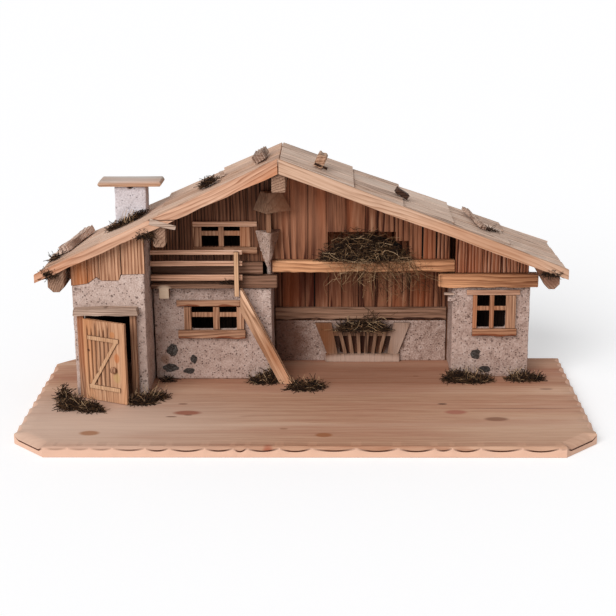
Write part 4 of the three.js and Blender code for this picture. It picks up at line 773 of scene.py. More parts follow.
# %% The plank tree
def new_tree(name, inputs):
    """A node tree with named inputs. What kind each input is follows from its first value."""
    tree = bpy.data.node_groups.new(name, "GeometryNodeTree")
    tree.interface.new_socket("Geometry", in_out="OUTPUT", socket_type="NodeSocketGeometry")
    for label, value in inputs.items():
        kind = {int: "Int", float: "Float", tuple: "Vector"}[type(value)]
        socket = tree.interface.new_socket(label, in_out="INPUT", socket_type="NodeSocket" + kind)
        socket.default_value = value
    tree.interface.new_socket("Finish", in_out="INPUT", socket_type="NodeSocketMaterial")
    tree.is_modifier = True
    return tree, tree.nodes.new("NodeGroupInput").outputs


def random_between(tree, low, high, seed):
    return add(tree, "FunctionNodeRandomValue", {2: low, 3: high, 8: seed}, data_type="FLOAT").outputs[1]


def make_plank_tree():
    tree, given = new_tree("planks_side_by_side", {
        "Count": 6, "Plank width": 0.02, "Width spread": 0.25, "Length": 0.1, "End spread": 0.0,
        "Thickness": 0.005, "Set back": 0.0005, "Gap": 0.00015, "Cuts": 2, "Seed": 1})
    node, calc, _ = short_hands(tree)
    seed, spread = given["Seed"], given["Width spread"]
    share = random_between(tree, calc("SUBTRACT", 1.0, spread), calc("ADD", 1.0, spread), seed)
    width = calc("MULTIPLY", share, given["Plank width"])
    summed = add(tree, "GeometryNodeAccumulateField", {"Value": width}, data_type="FLOAT").outputs
    middle = calc("ADD", summed["Trailing"], calc("MULTIPLY", width, 0.5))
    back = random_between(tree, 0.0, given["Set back"], calc("ADD", seed, 11))
    points = node("GeometryNodeSetPosition", {
        "Geometry": node("GeometryNodeMeshLine", {"Count": given["Count"], "Offset": (0, 0, 0)}),
        "Position": node("ShaderNodeCombineXYZ", {"X": middle, "Y": back})})
    block = node("GeometryNodeMeshCube", {"Size": (1, 1, 1), "Vertices Z": given["Cuts"]})
    raised = node("GeometryNodeTransform", {"Geometry": block, "Translation": (0, 0, 0.5)})
    shorter = random_between(tree, 0.0, given["End spread"], calc("ADD", seed, 23))
    size = node("ShaderNodeCombineXYZ", {
        "X": calc("SUBTRACT", width, given["Gap"]), "Y": given["Thickness"],
        "Z": calc("SUBTRACT", given["Length"], shorter)})
    planks = node("GeometryNodeInstanceOnPoints", {"Points": points, "Instance": raised, "Scale": size})
    marked = node("GeometryNodeStoreNamedAttribute", {
        "Geometry": planks, "Name": "board",
        "Value": random_between(tree, 0.0, 1.0, calc("ADD", seed, 37))},
        data_type="FLOAT", domain="INSTANCE")
    return close_tree(tree, node("GeometryNodeRealizeInstances", {"Geometry": marked}), given)


def close_tree(tree, geometry, given):
    """Gives the geometry its material and hands it out of the tree."""
    done = add(tree, "GeometryNodeSetMaterial", {"Geometry": geometry, "Material": given["Finish"]})
    tree.links.new(done.outputs[0], tree.nodes.new("NodeGroupOutput").inputs[0])
    return tree


def grow(tree, values):
    """Runs a tree with the given inputs and returns the plain mesh that it makes."""
    blank = on_the_bench("bench", bpy.data.meshes.new("bench"))
    modifier = blank.modifiers.new("grow", "NODES")
    modifier.node_group = tree
    sockets = {s.name: s.identifier for s in tree.interface.items_tree if s.in_out == "INPUT"}
    for label, value in values.items():
        modifier[sockets[label]] = value
    return worked_out(blank)


PLANKS = make_plank_tree()
print("plank tree nodes:", len(PLANKS.nodes))

# %% [markdown]
# ## Plank walls
# The joints between the planks stand where they do on the real stable. One plank is grown from each joint
# to the next, a little too long, and the wall is then trimmed to the measured solid, whose top follows the
# roof and whose openings are already right. A Boolean does the trimming. Breaking the edges afterwards
# leaves a fine V between two planks. A sheet behind them, painted dark as shade, keeps daylight out of the
# joints, and behind the windows the planks are painted dark as shade too, because no light gets into the
# rooms.

# %% Plank walls
JOINT, SET_BACK = 0.7, 0.4
BAY_LEFT, BAY_RIGHT = -47, 200
ROOM_SHADE = 0.94
THIN_SHARE, THICK_SHARE, SHEET_GAP = 0.36, 0.56, 0.6


def trimmed_to(node, mesh):
    """The part of a mesh that lies inside a measured solid."""
    cutter = on_the_bench("cutter", plain_mesh("outline", joined_copy(node)))
    blank = on_the_bench("blank", mesh)
    trim = blank.modifiers.new("trim", "BOOLEAN")
    trim.operation = "INTERSECT"
    trim.solver = "EXACT"
    trim.object = cutter
    return worked_out(blank, cutter)


def planks_between(low, high, joints, front, thick, seed, finish):
    """One plank from each joint to the next, as one mesh."""
    shape = bmesh.new()
    for number, (left, right) in enumerate(zip(joints, joints[1:])):
        clear = WIDE_JOINTS.get(right, JOINT)
        mesh = grow(PLANKS, {
            "Count": 1, "Plank width": (right - left - clear + JOINT) * MM, "Width spread": 0.0,
            "Length": high.z - low.z + 0.02, "Thickness": thick * MM, "Set back": SET_BACK * MM,
            "Gap": JOINT * MM, "Seed": seed + 5 * number, "Finish": finish})
        mesh.transform(Matrix.Translation((left * MM, front + thick / 2 * MM, low.z - 0.01)))
        shape.from_mesh(mesh)
    return plain_mesh("planks", shape)


def shade_sheet(node, front, back):
    """The sheet behind the planks, cut from the measured solid and painted dark as shade. No light comes
    through it.
    """
    shape = joined_copy(node)
    low, high = span(shape)
    middle = (low.y + high.y) / 2
    for vert in shape.verts:
        vert.co.y = low.y + (front if vert.co.y < middle else back) * MM
    cut_and_shade = shape.verts.layers.float.new("cut_and_shade")
    for vert in shape.verts:
        vert[cut_and_shade] = 1.0
    return plain_mesh("sheet", shape)


def plank_wall(node, finish, joints, seed, both_sides=False):
    low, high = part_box(node)
    wood = WOODS[finish]
    thick = (high.y - low.y) / MM
    share = THIN_SHARE if both_sides else THICK_SHARE
    shape = bmesh.new()
    cut_and_shade = shape.verts.layers.float.new("cut_and_shade")
    sides = [low.y + 0.05 * MM]
    if both_sides:
        sides.append(high.y - (share * thick + 0.45) * MM)
    for number, front in enumerate(sides):
        planks = planks_between(low, high, joints, front, share * thick, seed + 90 * number, wood)
        shape.from_mesh(trimmed_to(node, planks))
        # On the back wall, the planks behind the rooms are painted dark as shade.
        if both_sides and number == 0:
            for vert in shape.verts:
                in_room = not BAY_LEFT < vert.co.x / MM < BAY_RIGHT
                vert[cut_and_shade] = ROOM_SHADE if in_room else 0.0
    bmesh.ops.dissolve_limit(shape, angle_limit=math.radians(1), verts=shape.verts[:],
            edges=shape.edges[:], delimit={"NORMAL"})
    break_edges(shape, 0.6, 1)
    back = thick - share * thick - SHEET_GAP if both_sides else thick
    shape.from_mesh(shade_sheet(node, share * thick + SHEET_GAP, back))
    return finish_piece(node + "_boards", shape, wood, "stable", [node], 30)


WIDE_JOINTS = {157: 2.6, 175.5: 2.2, 10: 1.6, 144: 1.4, -239.5: 1.2, 262: 1.2}
PLANK_WALLS = [
    # node, wood, joints between the planks from left to right, seed
    ("back_panel", "bay",
     (-310, -284, -262, -238, -210, -186, -160, -133, -108, -84, -60, -37, -4, 10, 29, 48, 72, 96, 119, 144,
      166, 187, 212, 236, 260, 283, 310), 5),
    ("left_tower_planks", "tower", (-310, -284, -268.7, -239.5, -205), 8),
    ("house_planks", "house", (-212, -188, -170, -148, -124, -101, -80, -62, -44), 3),
    ("loft_planks", "bay", (-50, -22, 2, 26.5, 53, 79, 95, 119, 138, 157, 175.5, 195), 31),
    ("right_tower_planks", "gable", (198, 216, 237, 262, 287, 302), 12),
]
for node, finish, joints, seed in PLANK_WALLS:
    wall = plank_wall(node, finish, joints, seed, both_sides=node == "back_panel")
    print(wall.name, "faces", len(wall.data.polygons), "board" in wall.data.attributes)

# %% [markdown]
# ## The roof
# Each slope is laid in courses like large shingles. The upper end of a plank hides under the course above,
# so each plank leans a little more than the roof does, and its lower end stands proud and throws a line of
# shadow. The same plank tree grows each course, which is then turned onto the slope. Under them lies a
# closed layer of boards.

# %% Roof slopes
RIDGE_X = -33.4
RIDGE_HEIGHT = 332.0
DECK_FRONT = -2.0
ROOF_BACK = 170.0
RIDGE_GAP = 0.2
ROOF_JOINT = 1.5
LAYER = 4.0
SLOPES = {
    "left": {"side": -1, "pitch": math.radians(25.34), "reach": 316.8, "courses": (0.25, 0.5, 0.75, 1)},
    "right": {"side": 1, "pitch": math.radians(21.28), "reach": 371.0,
        "courses": (0.265, 0.43, 0.61, 0.805, 1)},
}


def leaning(x):
    """How far the roof is turned about the y axis at a place across the building."""
    return -SLOPES["left"]["pitch"] if x < RIDGE_X else SLOPES["right"]["pitch"]


def roof_top(x):
    """Height of the roof's upper surface over a place across the building, in millimetres."""
    return RIDGE_HEIGHT - abs(x - RIDGE_X) * math.tan(abs(leaning(x)))


def slope_frame(slope, out, drop, lean):
    """The turn and place that lay a course, grown flat, on a slope."""
    side, pitch = slope["side"], slope["pitch"] - lean
    along = Vector((side * math.cos(pitch), 0, -math.sin(pitch)))
    normal = Vector((math.sin(pitch), 0, side * math.cos(pitch)))
    turn = Matrix((Vector((0, 1, 0)), normal, along)).transposed().to_4x4()
    height = RIDGE_HEIGHT - out * math.tan(slope["pitch"]) - drop
    return moved(RIDGE_X + side * out, DECK_FRONT, height) @ turn


def lay_course(shape, slope, upper, lower, drop_upper, drop_lower, thick, seed, finish, spread):
    rise = (lower - upper) * math.tan(slope["pitch"])
    run = lower - upper
    length = math.hypot(run, rise + drop_lower - drop_upper)
    lean = slope["pitch"] - math.atan2(rise + drop_lower - drop_upper, run)
    depth = ROOF_BACK - DECK_FRONT
    mesh = grow(PLANKS, {
        "Count": 9, "Plank width": depth / 4 * MM, "Width spread": 0.22, "Length": length * MM,
        "End spread": spread * MM, "Thickness": thick * MM, "Set back": 0.0, "Gap": ROOF_JOINT * MM,
        "Cuts": 12, "Seed": seed, "Finish": finish})
    course = bmesh.new()
    course.from_mesh(mesh)
    bmesh.ops.bisect_plane(course, geom=all_of(course), dist=1e-6, plane_co=(depth * MM, 0, 0),
            plane_no=(1, 0, 0), clear_outer=True)
    bmesh.ops.holes_fill(course, edges=[e for e in course.edges if e.is_boundary])
    course.transform(slope_frame(slope, upper, drop_upper + thick * 0.55, lean))
    shape.from_mesh(plain_mesh("course", course))


def lay_roof(name, finish):
    slope = SLOPES[name]
    layer = LAYER * math.hypot(1, math.tan(slope["pitch"]))
    shape = bmesh.new()
    lay_course(shape, slope, 0.6, slope["reach"] - 4, layer * 1.06, layer * 1.06, LAYER * 0.8, 61, finish, 2)
    upper = RIDGE_GAP
    for number, share in enumerate(slope["courses"]):
        lower = share * slope["reach"]
        last = share == 1
        lay_course(shape, slope, upper, lower + (0 if last else 3), layer * 0.9, 0.5, 3.4,
                7 * number + (2 if name == "left" else 30), finish, 5 if last else 6)
        upper = lower - 2
    break_edges(shape, 0.5, 1)
    press_in(shape, 0.7, 0, 4 if name == "left" else 9, 30)
    return finish_piece(name + "_roof", shape, finish, "stable", [name + "_roof_planks"], 30)


for name in SLOPES:
    roof = lay_roof(name, WOODS["deck_" + name])
    print(roof.name, "faces", len(roof.data.polygons))

# %% [markdown]
# ## The carved base board
# The board's front and side edges were carved with a gouge: shallow scoops follow each other and leave the
# top surface hanging over them in soft lobes. So the edge is drawn as a row of profiles. Each profile goes
# up the carved face, steps out under the lobe's lip, and rolls over onto the top. The lip's height rises
# and falls along the edge, and the lobes are as long as the ones on the real board.

# %% Base board
BOARD_TOP = 14.0
CAP_INSET = 20.0
FRONT_CUSPS = (-315, -286, -259, -232, -192, -163, -120, -85, -69, -30, 9, 63, 113, 157, 178, 212, 262, 307)


def board_outline():
    """Corners of the measured board seen from above, anticlockwise."""
    shape = joined_copy("base_board")
    base = [v.co.xy / MM for v in shape.verts if v.co.z < 0.001]
    shape.free()
    base = [p for p in base if abs(p.x) > 300 or abs(p.y) > 160]
    centre = sum(base, Vector((0, 0))) / len(base)
    return sorted(base, key=lambda p: math.atan2(p.y - centre.y, p.x - centre.x))


def side_cusps(low, high, seed):
    """Uneven cut marks between two places along a side."""
    marks, place = [], low
    while place < high:
        marks.append(place)
        place += 27 + 14 * noise.noise(Vector((place * 0.07, seed, 0.3)))
    return marks


def scoop_at(along, cusps, weakest):
    """How deep the gouge went at a place along the edge: nothing at a cusp, most in mid scoop."""
    below = max((c for c in cusps if c <= along), default=along - 30)
    above = min((c for c in cusps if c > along), default=along + 30)
    share = (along - below) / max(above - below, 1)
    deep = 0.8 + 0.4 * noise.noise(Vector((below * 0.31, 1.7, 0)))
    return max(0.0, weakest * deep * math.sin(math.pi * share)) ** 0.8


def edge_numbers(place, outward):
    """Lip height, roll and recess of the edge at a place, its scoop, and how fresh its roll looks."""
    if outward.y < -0.95:
        fade = min(1.0, max(0.3, (place.x + 330) / 170))
        scoop = scoop_at(place.x, FRONT_CUSPS, fade)
        return 13.0 - 4.4 * scoop, 2.4, 0.3 + 1.7 * scoop, scoop, 0.0
    if abs(outward.x) > 0.95:
        scoop = scoop_at(place.y, side_cusps(-150, 175, 3 if outward.x > 0 else 8), 1.0)
        return 12.6 - 4.5 * scoop, 2.0 + 6.5 * scoop, 0.3 + 1.2 * scoop, scoop, scoop
    if outward.y > 0:
        return 12.6, 1.2, 0.3, 0.0, 0.0
    return 8.2, 14.0, 1.2, 0.9, 0.35


def edge_profile(lip, roll, recess):
    """Pairs of inset from the outline and height, from the underside up onto the top."""
    left = BOARD_TOP - lip
    return ((0.9, 0.0), (0.2, 0.8), (recess * 0.7, lip - 2.3), (recess, lip - 0.5), (0.25, lip),
            (0.3, lip + 0.12 * left), (roll * 0.4, lip + 0.62 * left), (roll, BOARD_TOP),
            (CAP_INSET, BOARD_TOP))


def carved_edge(corner, following, half_turns):
    """Rows of points for one edge, with the scoop and the freshness of each row."""
    edge = following - corner
    length = edge.length
    ahead = edge / length
    outward = Vector((ahead.y, -ahead.x))
    steps = max(2, int(length / 2.0))
    rows = []
    for n in range(steps + 1):
        along = length * n / steps
        own = edge_numbers(corner + ahead * along, outward)
        share = min(1.0, min(along, length - along) / 9)
        plain = (12.6, 2.0, 0.3, 0.0, 0.0)
        lip, roll, recess, scoop, fresh = (a + (b - a) * share for a, b in zip(plain, own))
        row = []
        for inset, height in edge_profile(lip, roll, recess):
            first = inset * math.tan(half_turns[0])
            last = length - inset * math.tan(half_turns[1])
            point = corner + ahead * min(max(along, first), last) - outward * inset
            row.append(Vector((point.x, point.y, height)) * MM)
        rows.append((row, scoop, fresh))
    return rows


def carved_board():
    corners = board_outline()
    count = len(corners)
    turns = []
    for index, corner in enumerate(corners):
        before = corner - corners[index - 1]
        after = corners[(index + 1) % count] - corner
        turns.append(abs(before.angle_signed(after)) / 2)
    rows = []
    for index, corner in enumerate(corners):
        half_turns = (turns[index], turns[(index + 1) % count])
        rows += carved_edge(corner, corners[(index + 1) % count], half_turns)[:-1]
    shape = bmesh.new()
    carved = shape.faces.layers.float.new("carved")
    cut_and_shade = shape.faces.layers.float.new("cut_and_shade")
    columns = [[shape.verts.new(point) for point in row] for row, _, _ in rows]
    for number, this in enumerate(columns):
        following = columns[(number + 1) % len(columns)]
        scoop, fresh = rows[number][1], rows[number][2]
        for level in range(len(this) - 1):
            face = shape.faces.new((this[level], following[level], following[level + 1], this[level + 1]))
            face[carved] = 1.0 if level < 4 else (fresh if level < 7 else 0.0)
            # Just under each lobe's lip a band is painted dark as the shadow that the lip casts.
            face[cut_and_shade] = min(1.0, scoop * 1.4) if level in (2, 3) else 0.0
    bmesh.ops.remove_doubles(shape, verts=shape.verts[:], dist=SAME_PLACE)
    bmesh.ops.holes_fill(shape, edges=[edge for edge in shape.edges if edge.is_boundary], sides=0)
    bmesh.ops.triangulate(shape, faces=[f for f in shape.faces if len(f.verts) > 4])
    bmesh.ops.recalc_face_normals(shape, faces=shape.faces[:])
    return finish_piece("base_board_carved", shape, WOODS["board_pine"], "stable",
            ["base_board"], 32)


board = carved_board()
print("board faces", len(board.data.polygons))

# %% [markdown]
# ## The door
# The leaf is one board with flutes gouged into its left two thirds, so it reads as narrow boards beside a
# smooth stile. It stands ajar, so the copy is first turned back onto the hinge line, where the flutes are
# simple to cut, and then turned open again. The knob is a small turned ball.

# %% Door leaf and knob
HINGE = Vector((-287.9, 0.2, 0)) * MM
AJAR = math.radians(25)
FLUTES = (6, 12.5, 18.5, 25, 31.5, 38)


def door_leaf():
    shape = joined_copy("door_leaf")
    closed = Matrix.Translation(HINGE) @ Matrix.Rotation(AJAR, 4, "Z") @ Matrix.Translation(-HINGE)
    shape.transform(closed)
    break_edges(shape, 0.7)
    cut_across(shape, (0.7, 50, 4))
    cut_and_shade = shape.verts.layers.float.new("cut_and_shade")
    low, high = span(shape)
    for vert in shape.verts:
        across = (vert.co.x - low.x) / MM
        up = (vert.co.z - low.z) / MM
        if vert.co.y < low.y + 0.0003:
            for number, flute in enumerate(FLUTES):
                near = max(0.0, 1 - abs(across - flute) / 1.7)
                top = 102 - 5 * math.sin(number * 2.3)
                ends = min(1, max(0, (top - up) / 5)) * min(1, max(0, (up - 9 - number % 3 * 3) / 9))
                depth = near * near * (3 - 2 * near) * ends
                vert.co.y += 1.5 * MM * depth
                vert[cut_and_shade] = max(vert[cut_and_shade], 0.9 * depth)
    press_in(shape, 0.4, 2, 3, 30)
    shape.transform(closed.inverted())
    return finish_piece("door_leaf_fluted", shape, WOODS["door"], "door",
            ["door_leaf"], 40)


def door_knob():
    low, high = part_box("door_knob")
    shape = bmesh.new()
    bmesh.ops.create_uvsphere(shape, u_segments=24, v_segments=16, radius=0.5)
    turn = Matrix.Rotation(-AJAR, 4, "Z")
    for vert in shape.verts:
        turned = turn @ Vector((vert.co.x * 9.4, vert.co.y * 6.2, vert.co.z * 9.4))
        vert.co = (low + high) / 2 + turned * MM
    print("knob measures", [round(v / MM, 1) for v in high - low])
    return finish_piece("door_knob_turned", shape, WOODS["post"], "door",
            ["door_knob"], 60)


leaf = door_leaf()
door_knob()
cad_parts["door_hinge_pin"].data.materials.clear()
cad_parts["door_hinge_pin"].data.materials.append(WIRE)
print("leaf faces", len(leaf.data.polygons))

# %% [markdown]
# ## Strands, with Geometry Nodes
# Moss and hay are one tree with different numbers. Points are scattered in a low dome, a short curve stands
# on each, heads roughly one way and is bent by a noise that differs from strand to strand, and each curve
# is made a thin tapered stalk with three sides. Nothing goes below the ground that the heap lies on, and
# no strand is left where the door swings or inside a wall.

# %% The strand tree
def make_strand_tree():
    tree, given = new_tree("heap_of_strands", {
        "Count": 200, "Spread": (0.02, 0.02, 0.01), "Heading": (0, 0, 1), "Scatter": (1, 1, 1),
        "Length": 0.02, "Thickness": 0.0006, "Curl": 0.01, "Ground": 0.0003, "Paleness": 0.0, "Seed": 1})
    node, calc, vector = short_hands(tree)

    def rand(low, high, step):
        return random_between(tree, low, high, calc("ADD", given["Seed"], step))

    angle = rand(0.0, 2 * math.pi, 1)
    radius = calc("SQRT", rand(0.0, 1.0, 2))
    dome = calc("SUBTRACT", 1.0, calc("MULTIPLY", radius, radius))
    place = node("ShaderNodeCombineXYZ", {
        "X": calc("MULTIPLY", radius, calc("COSINE", angle)),
        "Y": calc("MULTIPLY", radius, calc("SINE", angle)),
        "Z": calc("MULTIPLY", dome, rand(0.0, 1.0, 3))})
    place = vector("MULTIPLY", place, given["Spread"])
    stray = {0: (-1, -1, -1), 1: (1, 1, 1), 8: calc("ADD", given["Seed"], 5)}
    stray = node("FunctionNodeRandomValue", stray, data_type="FLOAT_VECTOR")
    heading = vector("ADD", given["Heading"], vector("MULTIPLY", stray, given["Scatter"]))
    stalk = node("GeometryNodeCurvePrimitiveLine", {"End": (0, 0, 1)})
    stalks = node("GeometryNodeInstanceOnPoints", {
        "Points": node("GeometryNodePoints", {"Count": given["Count"], "Position": place}),
        "Instance": node("GeometryNodeResampleCurve", {"Curve": stalk, "Count": 6}),
        "Rotation": node("FunctionNodeAlignRotationToVector", {"Vector": heading}, axis="Z"),
        "Scale": calc("MULTIPLY", given["Length"], rand(0.45, 1.2, 6))})
    stalks = node("GeometryNodeStoreNamedAttribute", {
        "Geometry": stalks, "Name": "tone", "Value": calc("ADD", rand(0.0, 1.0, 7), given["Paleness"])},
        data_type="FLOAT", domain="INSTANCE")
    stalks = node("GeometryNodeRealizeInstances", {"Geometry": stalks})
    tone = node("GeometryNodeInputNamedAttribute", {"Name": "tone"}, data_type="FLOAT")
    here = node("GeometryNodeInputPosition")
    wind = add(tree, "ShaderNodeTexNoise", {
        "Vector": here, "W": calc("MULTIPLY", tone, 90.0), "Scale": 55.0, "Detail": 1.0},
        noise_dimensions="4D").outputs["Color"]
    wind = vector("SUBTRACT", wind, (0.5, 0.5, 0.5))
    wind = vector("SCALE", wind, scale=calc("MULTIPLY", given["Curl"], 3.0))
    stalks = node("GeometryNodeSetPosition", {"Geometry": stalks, "Offset": wind})
    x, y, z = add(tree, "ShaderNodeSeparateXYZ", {0: here}).outputs
    kept = node("ShaderNodeCombineXYZ", {"X": x, "Y": y, "Z": calc("MAXIMUM", z, given["Ground"])})
    stalks = node("GeometryNodeSetPosition", {"Geometry": stalks, "Position": kept})
    taper = calc("MULTIPLY", node("GeometryNodeSplineParameter"), 0.75)
    stalks = node("GeometryNodeSetCurveRadius", {"Curve": stalks, "Radius": calc("SUBTRACT", 1.0, taper)})
    radius = calc("MULTIPLY", given["Thickness"], 0.5)
    ring = node("GeometryNodeCurvePrimitiveCircle", {"Resolution": 3, "Radius": radius}, mode="RADIUS")
    blades = {"Curve": stalks, "Profile Curve": ring, "Fill Caps": True}
    return close_tree(tree, node("GeometryNodeCurveToMesh", blades), given)


STRANDS = make_strand_tree()
DARK, PALE = 0.0, 0.95
DOOR_WIDE = math.radians(48)
DOOR_REACH, DOOR_DEPTH, DOOR_BACK = 57, 10, 6
DOOR_FOOT = 30
LEAN = 3.0


def heap(centre, spread, count, length, thickness, curl, seed, paleness, heading,
        scatter=(1, 1, 1), ground=0.3):
    """One heap of strands as a plain mesh. Sizes are in millimetres."""
    mesh = grow(STRANDS, {
        "Count": count, "Spread": [v * MM for v in spread], "Heading": heading, "Scatter": scatter,
        "Length": length * MM, "Thickness": thickness * MM, "Curl": curl * MM, "Ground": ground * MM,
        "Paleness": paleness, "Seed": seed, "Finish": GROWTH})
    mesh.transform(moved(*centre))
    return mesh


def swept_by_door(place):
    """Whether the door passes over this place on its way from closed to wide open."""
    ahead = (place.xy - HINGE.xy) / MM
    wide_open = Vector((math.cos(DOOR_WIDE), -math.sin(DOOR_WIDE)))
    beyond = ahead.x * wide_open.y - ahead.y * wide_open.x
    return ahead.length < DOOR_REACH and ahead.y < DOOR_BACK and beyond < DOOR_DEPTH


def clear_the_door(shape):
    """Takes whole strands away where the door would brush over them."""
    waiting = [vert for vert in shape.verts if vert.co.z < DOOR_FOOT * MM and swept_by_door(vert.co)]
    swept = set()
    while waiting:
        vert = waiting.pop()
        if vert not in swept:
            swept.add(vert)
            waiting += [edge.other_vert(vert) for edge in vert.link_edges]
    bmesh.ops.delete(shape, geom=list(swept), context="VERTS")


def lean_on_wall(shape, wall):
    """Presses the strands that would pass through a wall against its face."""
    for vert in shape.verts:
        over = vert.co.y / MM - (wall - LEAN)
        if over > 0:
            vert.co.y = (wall - LEAN * math.exp(-over / LEAN)) * MM


def join_heaps(name, meshes, stands_for=(), wall=None):
    shape = bmesh.new()
    for mesh in meshes:
        shape.from_mesh(mesh)
    clear_the_door(shape)
    if wall:
        lean_on_wall(shape, wall)
    return finish_piece(name, shape, GROWTH, "stable", stands_for, 60)


print("strand tree nodes:", len(STRANDS.nodes))

# %% [markdown]
# ## Moss on the ground and on the roof
# Tufts of dried moss hide the feet of the walls and of the stair, and sit on the roof where the wind would
# leave them. Each tuft is a flat heap of short curly strands with a few longer, paler stalks.

# %% Moss
FLAT = (1.0, 1.0, 0.45)
GROUND_MOSS = [
    # middle x, y, half width, half depth, height, number of strands
    (-319, -6, 6, 6, 21, 260), (-303, -32, 18, 12, 9, 620), (-276, -44, 16, 8, 8, 460),
    (-216, -16, 16, 9, 9, 520), (-198, 2, 11, 8, 6, 260), (-52, 73, 13, 5, 15, 340),
    (-58, 66, 20, 8, 7, 420), (-6, 38, 18, 9, 8, 480), (10, 44, 13, 7, 10, 220), (208, 72, 19, 10, 13, 620),
    (232, 70, 17, 8, 8, 420), (298, 76, 23, 7, 7, 560), (-192, 70, 7, 4, 2, 60),
]


def ground_moss():
    tufts = []
    for number, (x, y, *spread, count) in enumerate(GROUND_MOSS):
        foot = (x, y, BOARD_TOP)
        tufts.append(heap(foot, spread, count, 11, 0.85, 7.5, 100 + number, DARK, (0, 0, 0.12), FLAT))
        tufts.append(heap(foot, spread, count // 14, 17, 0.5, 7, 200 + number, PALE, (0, 0, 0.5)))
    return tufts


ROOF_MOSS = [
    (-250, 86, 16, 9, 4, 300), (-228, 90, 13, 9, 4, 240), (-129, 80, 12, 9, 6, 300), (248, 84, 5, 4, 3, 30),
    (-334, 66, 9, 6, 3, 80),
]


def roof_moss():
    tufts = []
    for number, (x, y, *spread, count) in enumerate(ROOF_MOSS):
        tuft = heap((0, 0, 0), spread, count, 10, 0.8, 6, 300 + number, DARK, (0, 0, 0.1), FLAT)
        turn = Matrix.Rotation(leaning(x), 4, "Y")
        tuft.transform(moved(x, y, roof_top(x) - 0.5) @ turn)
        tufts.append(tuft)
    grass = heap((-240, 80, roof_top(-240)), (12, 3, 2), 12, 15, 0.7, 5, 330, PALE, (0.1, 0, 1.4),
            (0.6, 0.4, 0.4))
    return tufts + [grass]


def hanging_moss():
    """Beards of moss at the cut ends of the purlins and on the balcony."""
    return [
        heap((-331, -5, 184), (9, 4, 8), 220, 9, 0.8, 6, 401, DARK, (0, 0, 0), FLAT, -30),
        heap((-204, -5, 235), (10, 5, 8), 280, 9, 0.8, 6, 402, DARK, (0, 0, -0.05), FLAT, -40),
        heap((316, -3, 184), (10, 4, 6), 200, 9, 0.8, 5, 403, DARK, (0, 0, -0.1), FLAT, -30),
        heap((-102, 64, 154.5), (9, 4, 4), 160, 9, 0.8, 5, 404, DARK, (0, 0, 0.1), FLAT),
    ]


tufts = join_heaps("ground_moss", ground_moss())
roof_tufts = join_heaps("roof_moss", roof_moss() + hanging_moss())
print("moss faces", len(tufts.data.polygons), len(roof_tufts.data.polygons))

# %% [markdown]
# ## Hay in the loft and in the rack
# The loft is full of hay that was pushed in by the armful: a dark tangled mass with pale stalks over it and
# a fringe that hangs over the beam. A lumpy core, painted dark as shade, fills the middle so that no
# daylight shows through the heap, and the strands do the rest. The rack below holds a handful with a few
# twigs.

# %% Hay
RACK_WALL = 157.6


def hay_core(node, shrink):
    """The middle of a heap, painted dark as the shade inside it, so that no daylight shows through the
    strands.
    """
    shape = joined_copy(node)
    low, high = span(shape)
    foot = Vector(((low.x + high.x) / 2, (low.y + high.y) / 2, low.z))
    for vert in shape.verts:
        vert.co = foot + (vert.co - foot) * shrink
    cut_across(shape, (4, 4, 4))
    press_in(shape, 3.0, 0, 2, 9)
    return plain_mesh("core", shape)


def loft_heap():
    top = 182.3
    flat = (1.0, 0.25, 0.35)
    fringe = (1.0, 0.3, 0.3)
    return [
        hay_core("loft_hay", 0.9),
        heap((76, 83, top), (42, 6, 34), 1900, 20, 0.75, 15, 501, DARK, (0, 0, 0.05), flat),
        heap((116, 82, top), (11, 5, 17), 220, 16, 0.7, 10, 506, DARK, (0, 0, 0.05), flat),
        heap((32, 82, top), (8, 5, 10), 110, 14, 0.7, 10, 507, DARK, (0, 0, 0.05), flat),
        heap((76, 78, top), (44, 4, 31), 150, 30, 0.5, 17, 502, PALE, (0, 0, 0.05), flat),
        heap((88, 79, 184), (64, 3, 4), 90, 50, 0.4, 22, 503, 0.5, (0.2, -0.2, -0.8), fringe, -54),
        heap((112, 79, 182), (30, 3, 4), 60, 56, 0.4, 26, 508, 0.3, (0.5, 0, -0.6), fringe, -54),
        heap((80, 79, 190), (50, 3, 5), 26, 46, 0.45, 18, 504, PALE, (0.1, -0.2, -0.8), fringe, -46),
    ]


def rack_heap():
    low, high = (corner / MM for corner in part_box("rack_hay"))
    middle = ((low.x + high.x) / 2, (low.y + high.y) / 2, low.z)
    flat = (1.0, 0.4, 0.4)
    return [
        hay_core("rack_hay", 0.7),
        heap(middle, (30, 5, 12), 420, 18, 0.8, 9, 601, DARK, (0, 0, 0.05), flat),
        heap(middle, (30, 5, 12), 46, 28, 0.7, 10, 602, PALE, (0, 0, 0.1), flat),
        heap((90, 150, 74), (16, 2, 2), 7, 27, 0.8, 9, 603, DARK, (0.3, 0, 0.8), (0.7, 0.2, 0.2)),
    ]


loft = join_heaps("loft_hay_strands", loft_heap(), ["loft_hay"])
rack = join_heaps("rack_hay_strands", rack_heap(), ["rack_hay"], RACK_WALL)
print("hay faces", len(loft.data.polygons), len(rack.data.polygons))

# %% [markdown]
# ## Stones in the plaster and small pieces on the fronts
# A few dark stones show where the plaster was left open. Each is a flat slate of seven or eight corners with
# a broken surface, which stands out of the wall by less than a millimetre. A slip of wood and a daub of
# plaster sit at the corner of the right tower, and a splintered end lies over the joint of the left barge
# board.

# %% Stones
STONES = [
    # x, y of the wall's face, z, width, height
    (-184.7, 76.9, 56.0, 16, 17), (-188.0, 76.9, 30.4, 22, 12), (-162.5, 76.6, 26.0, 17, 9),
    (-155.5, 76.9, 43.0, 10, 13), (231.5, 87.3, 46.0, 15, 16), (244.5, 87.3, 25.0, 17, 10),
]


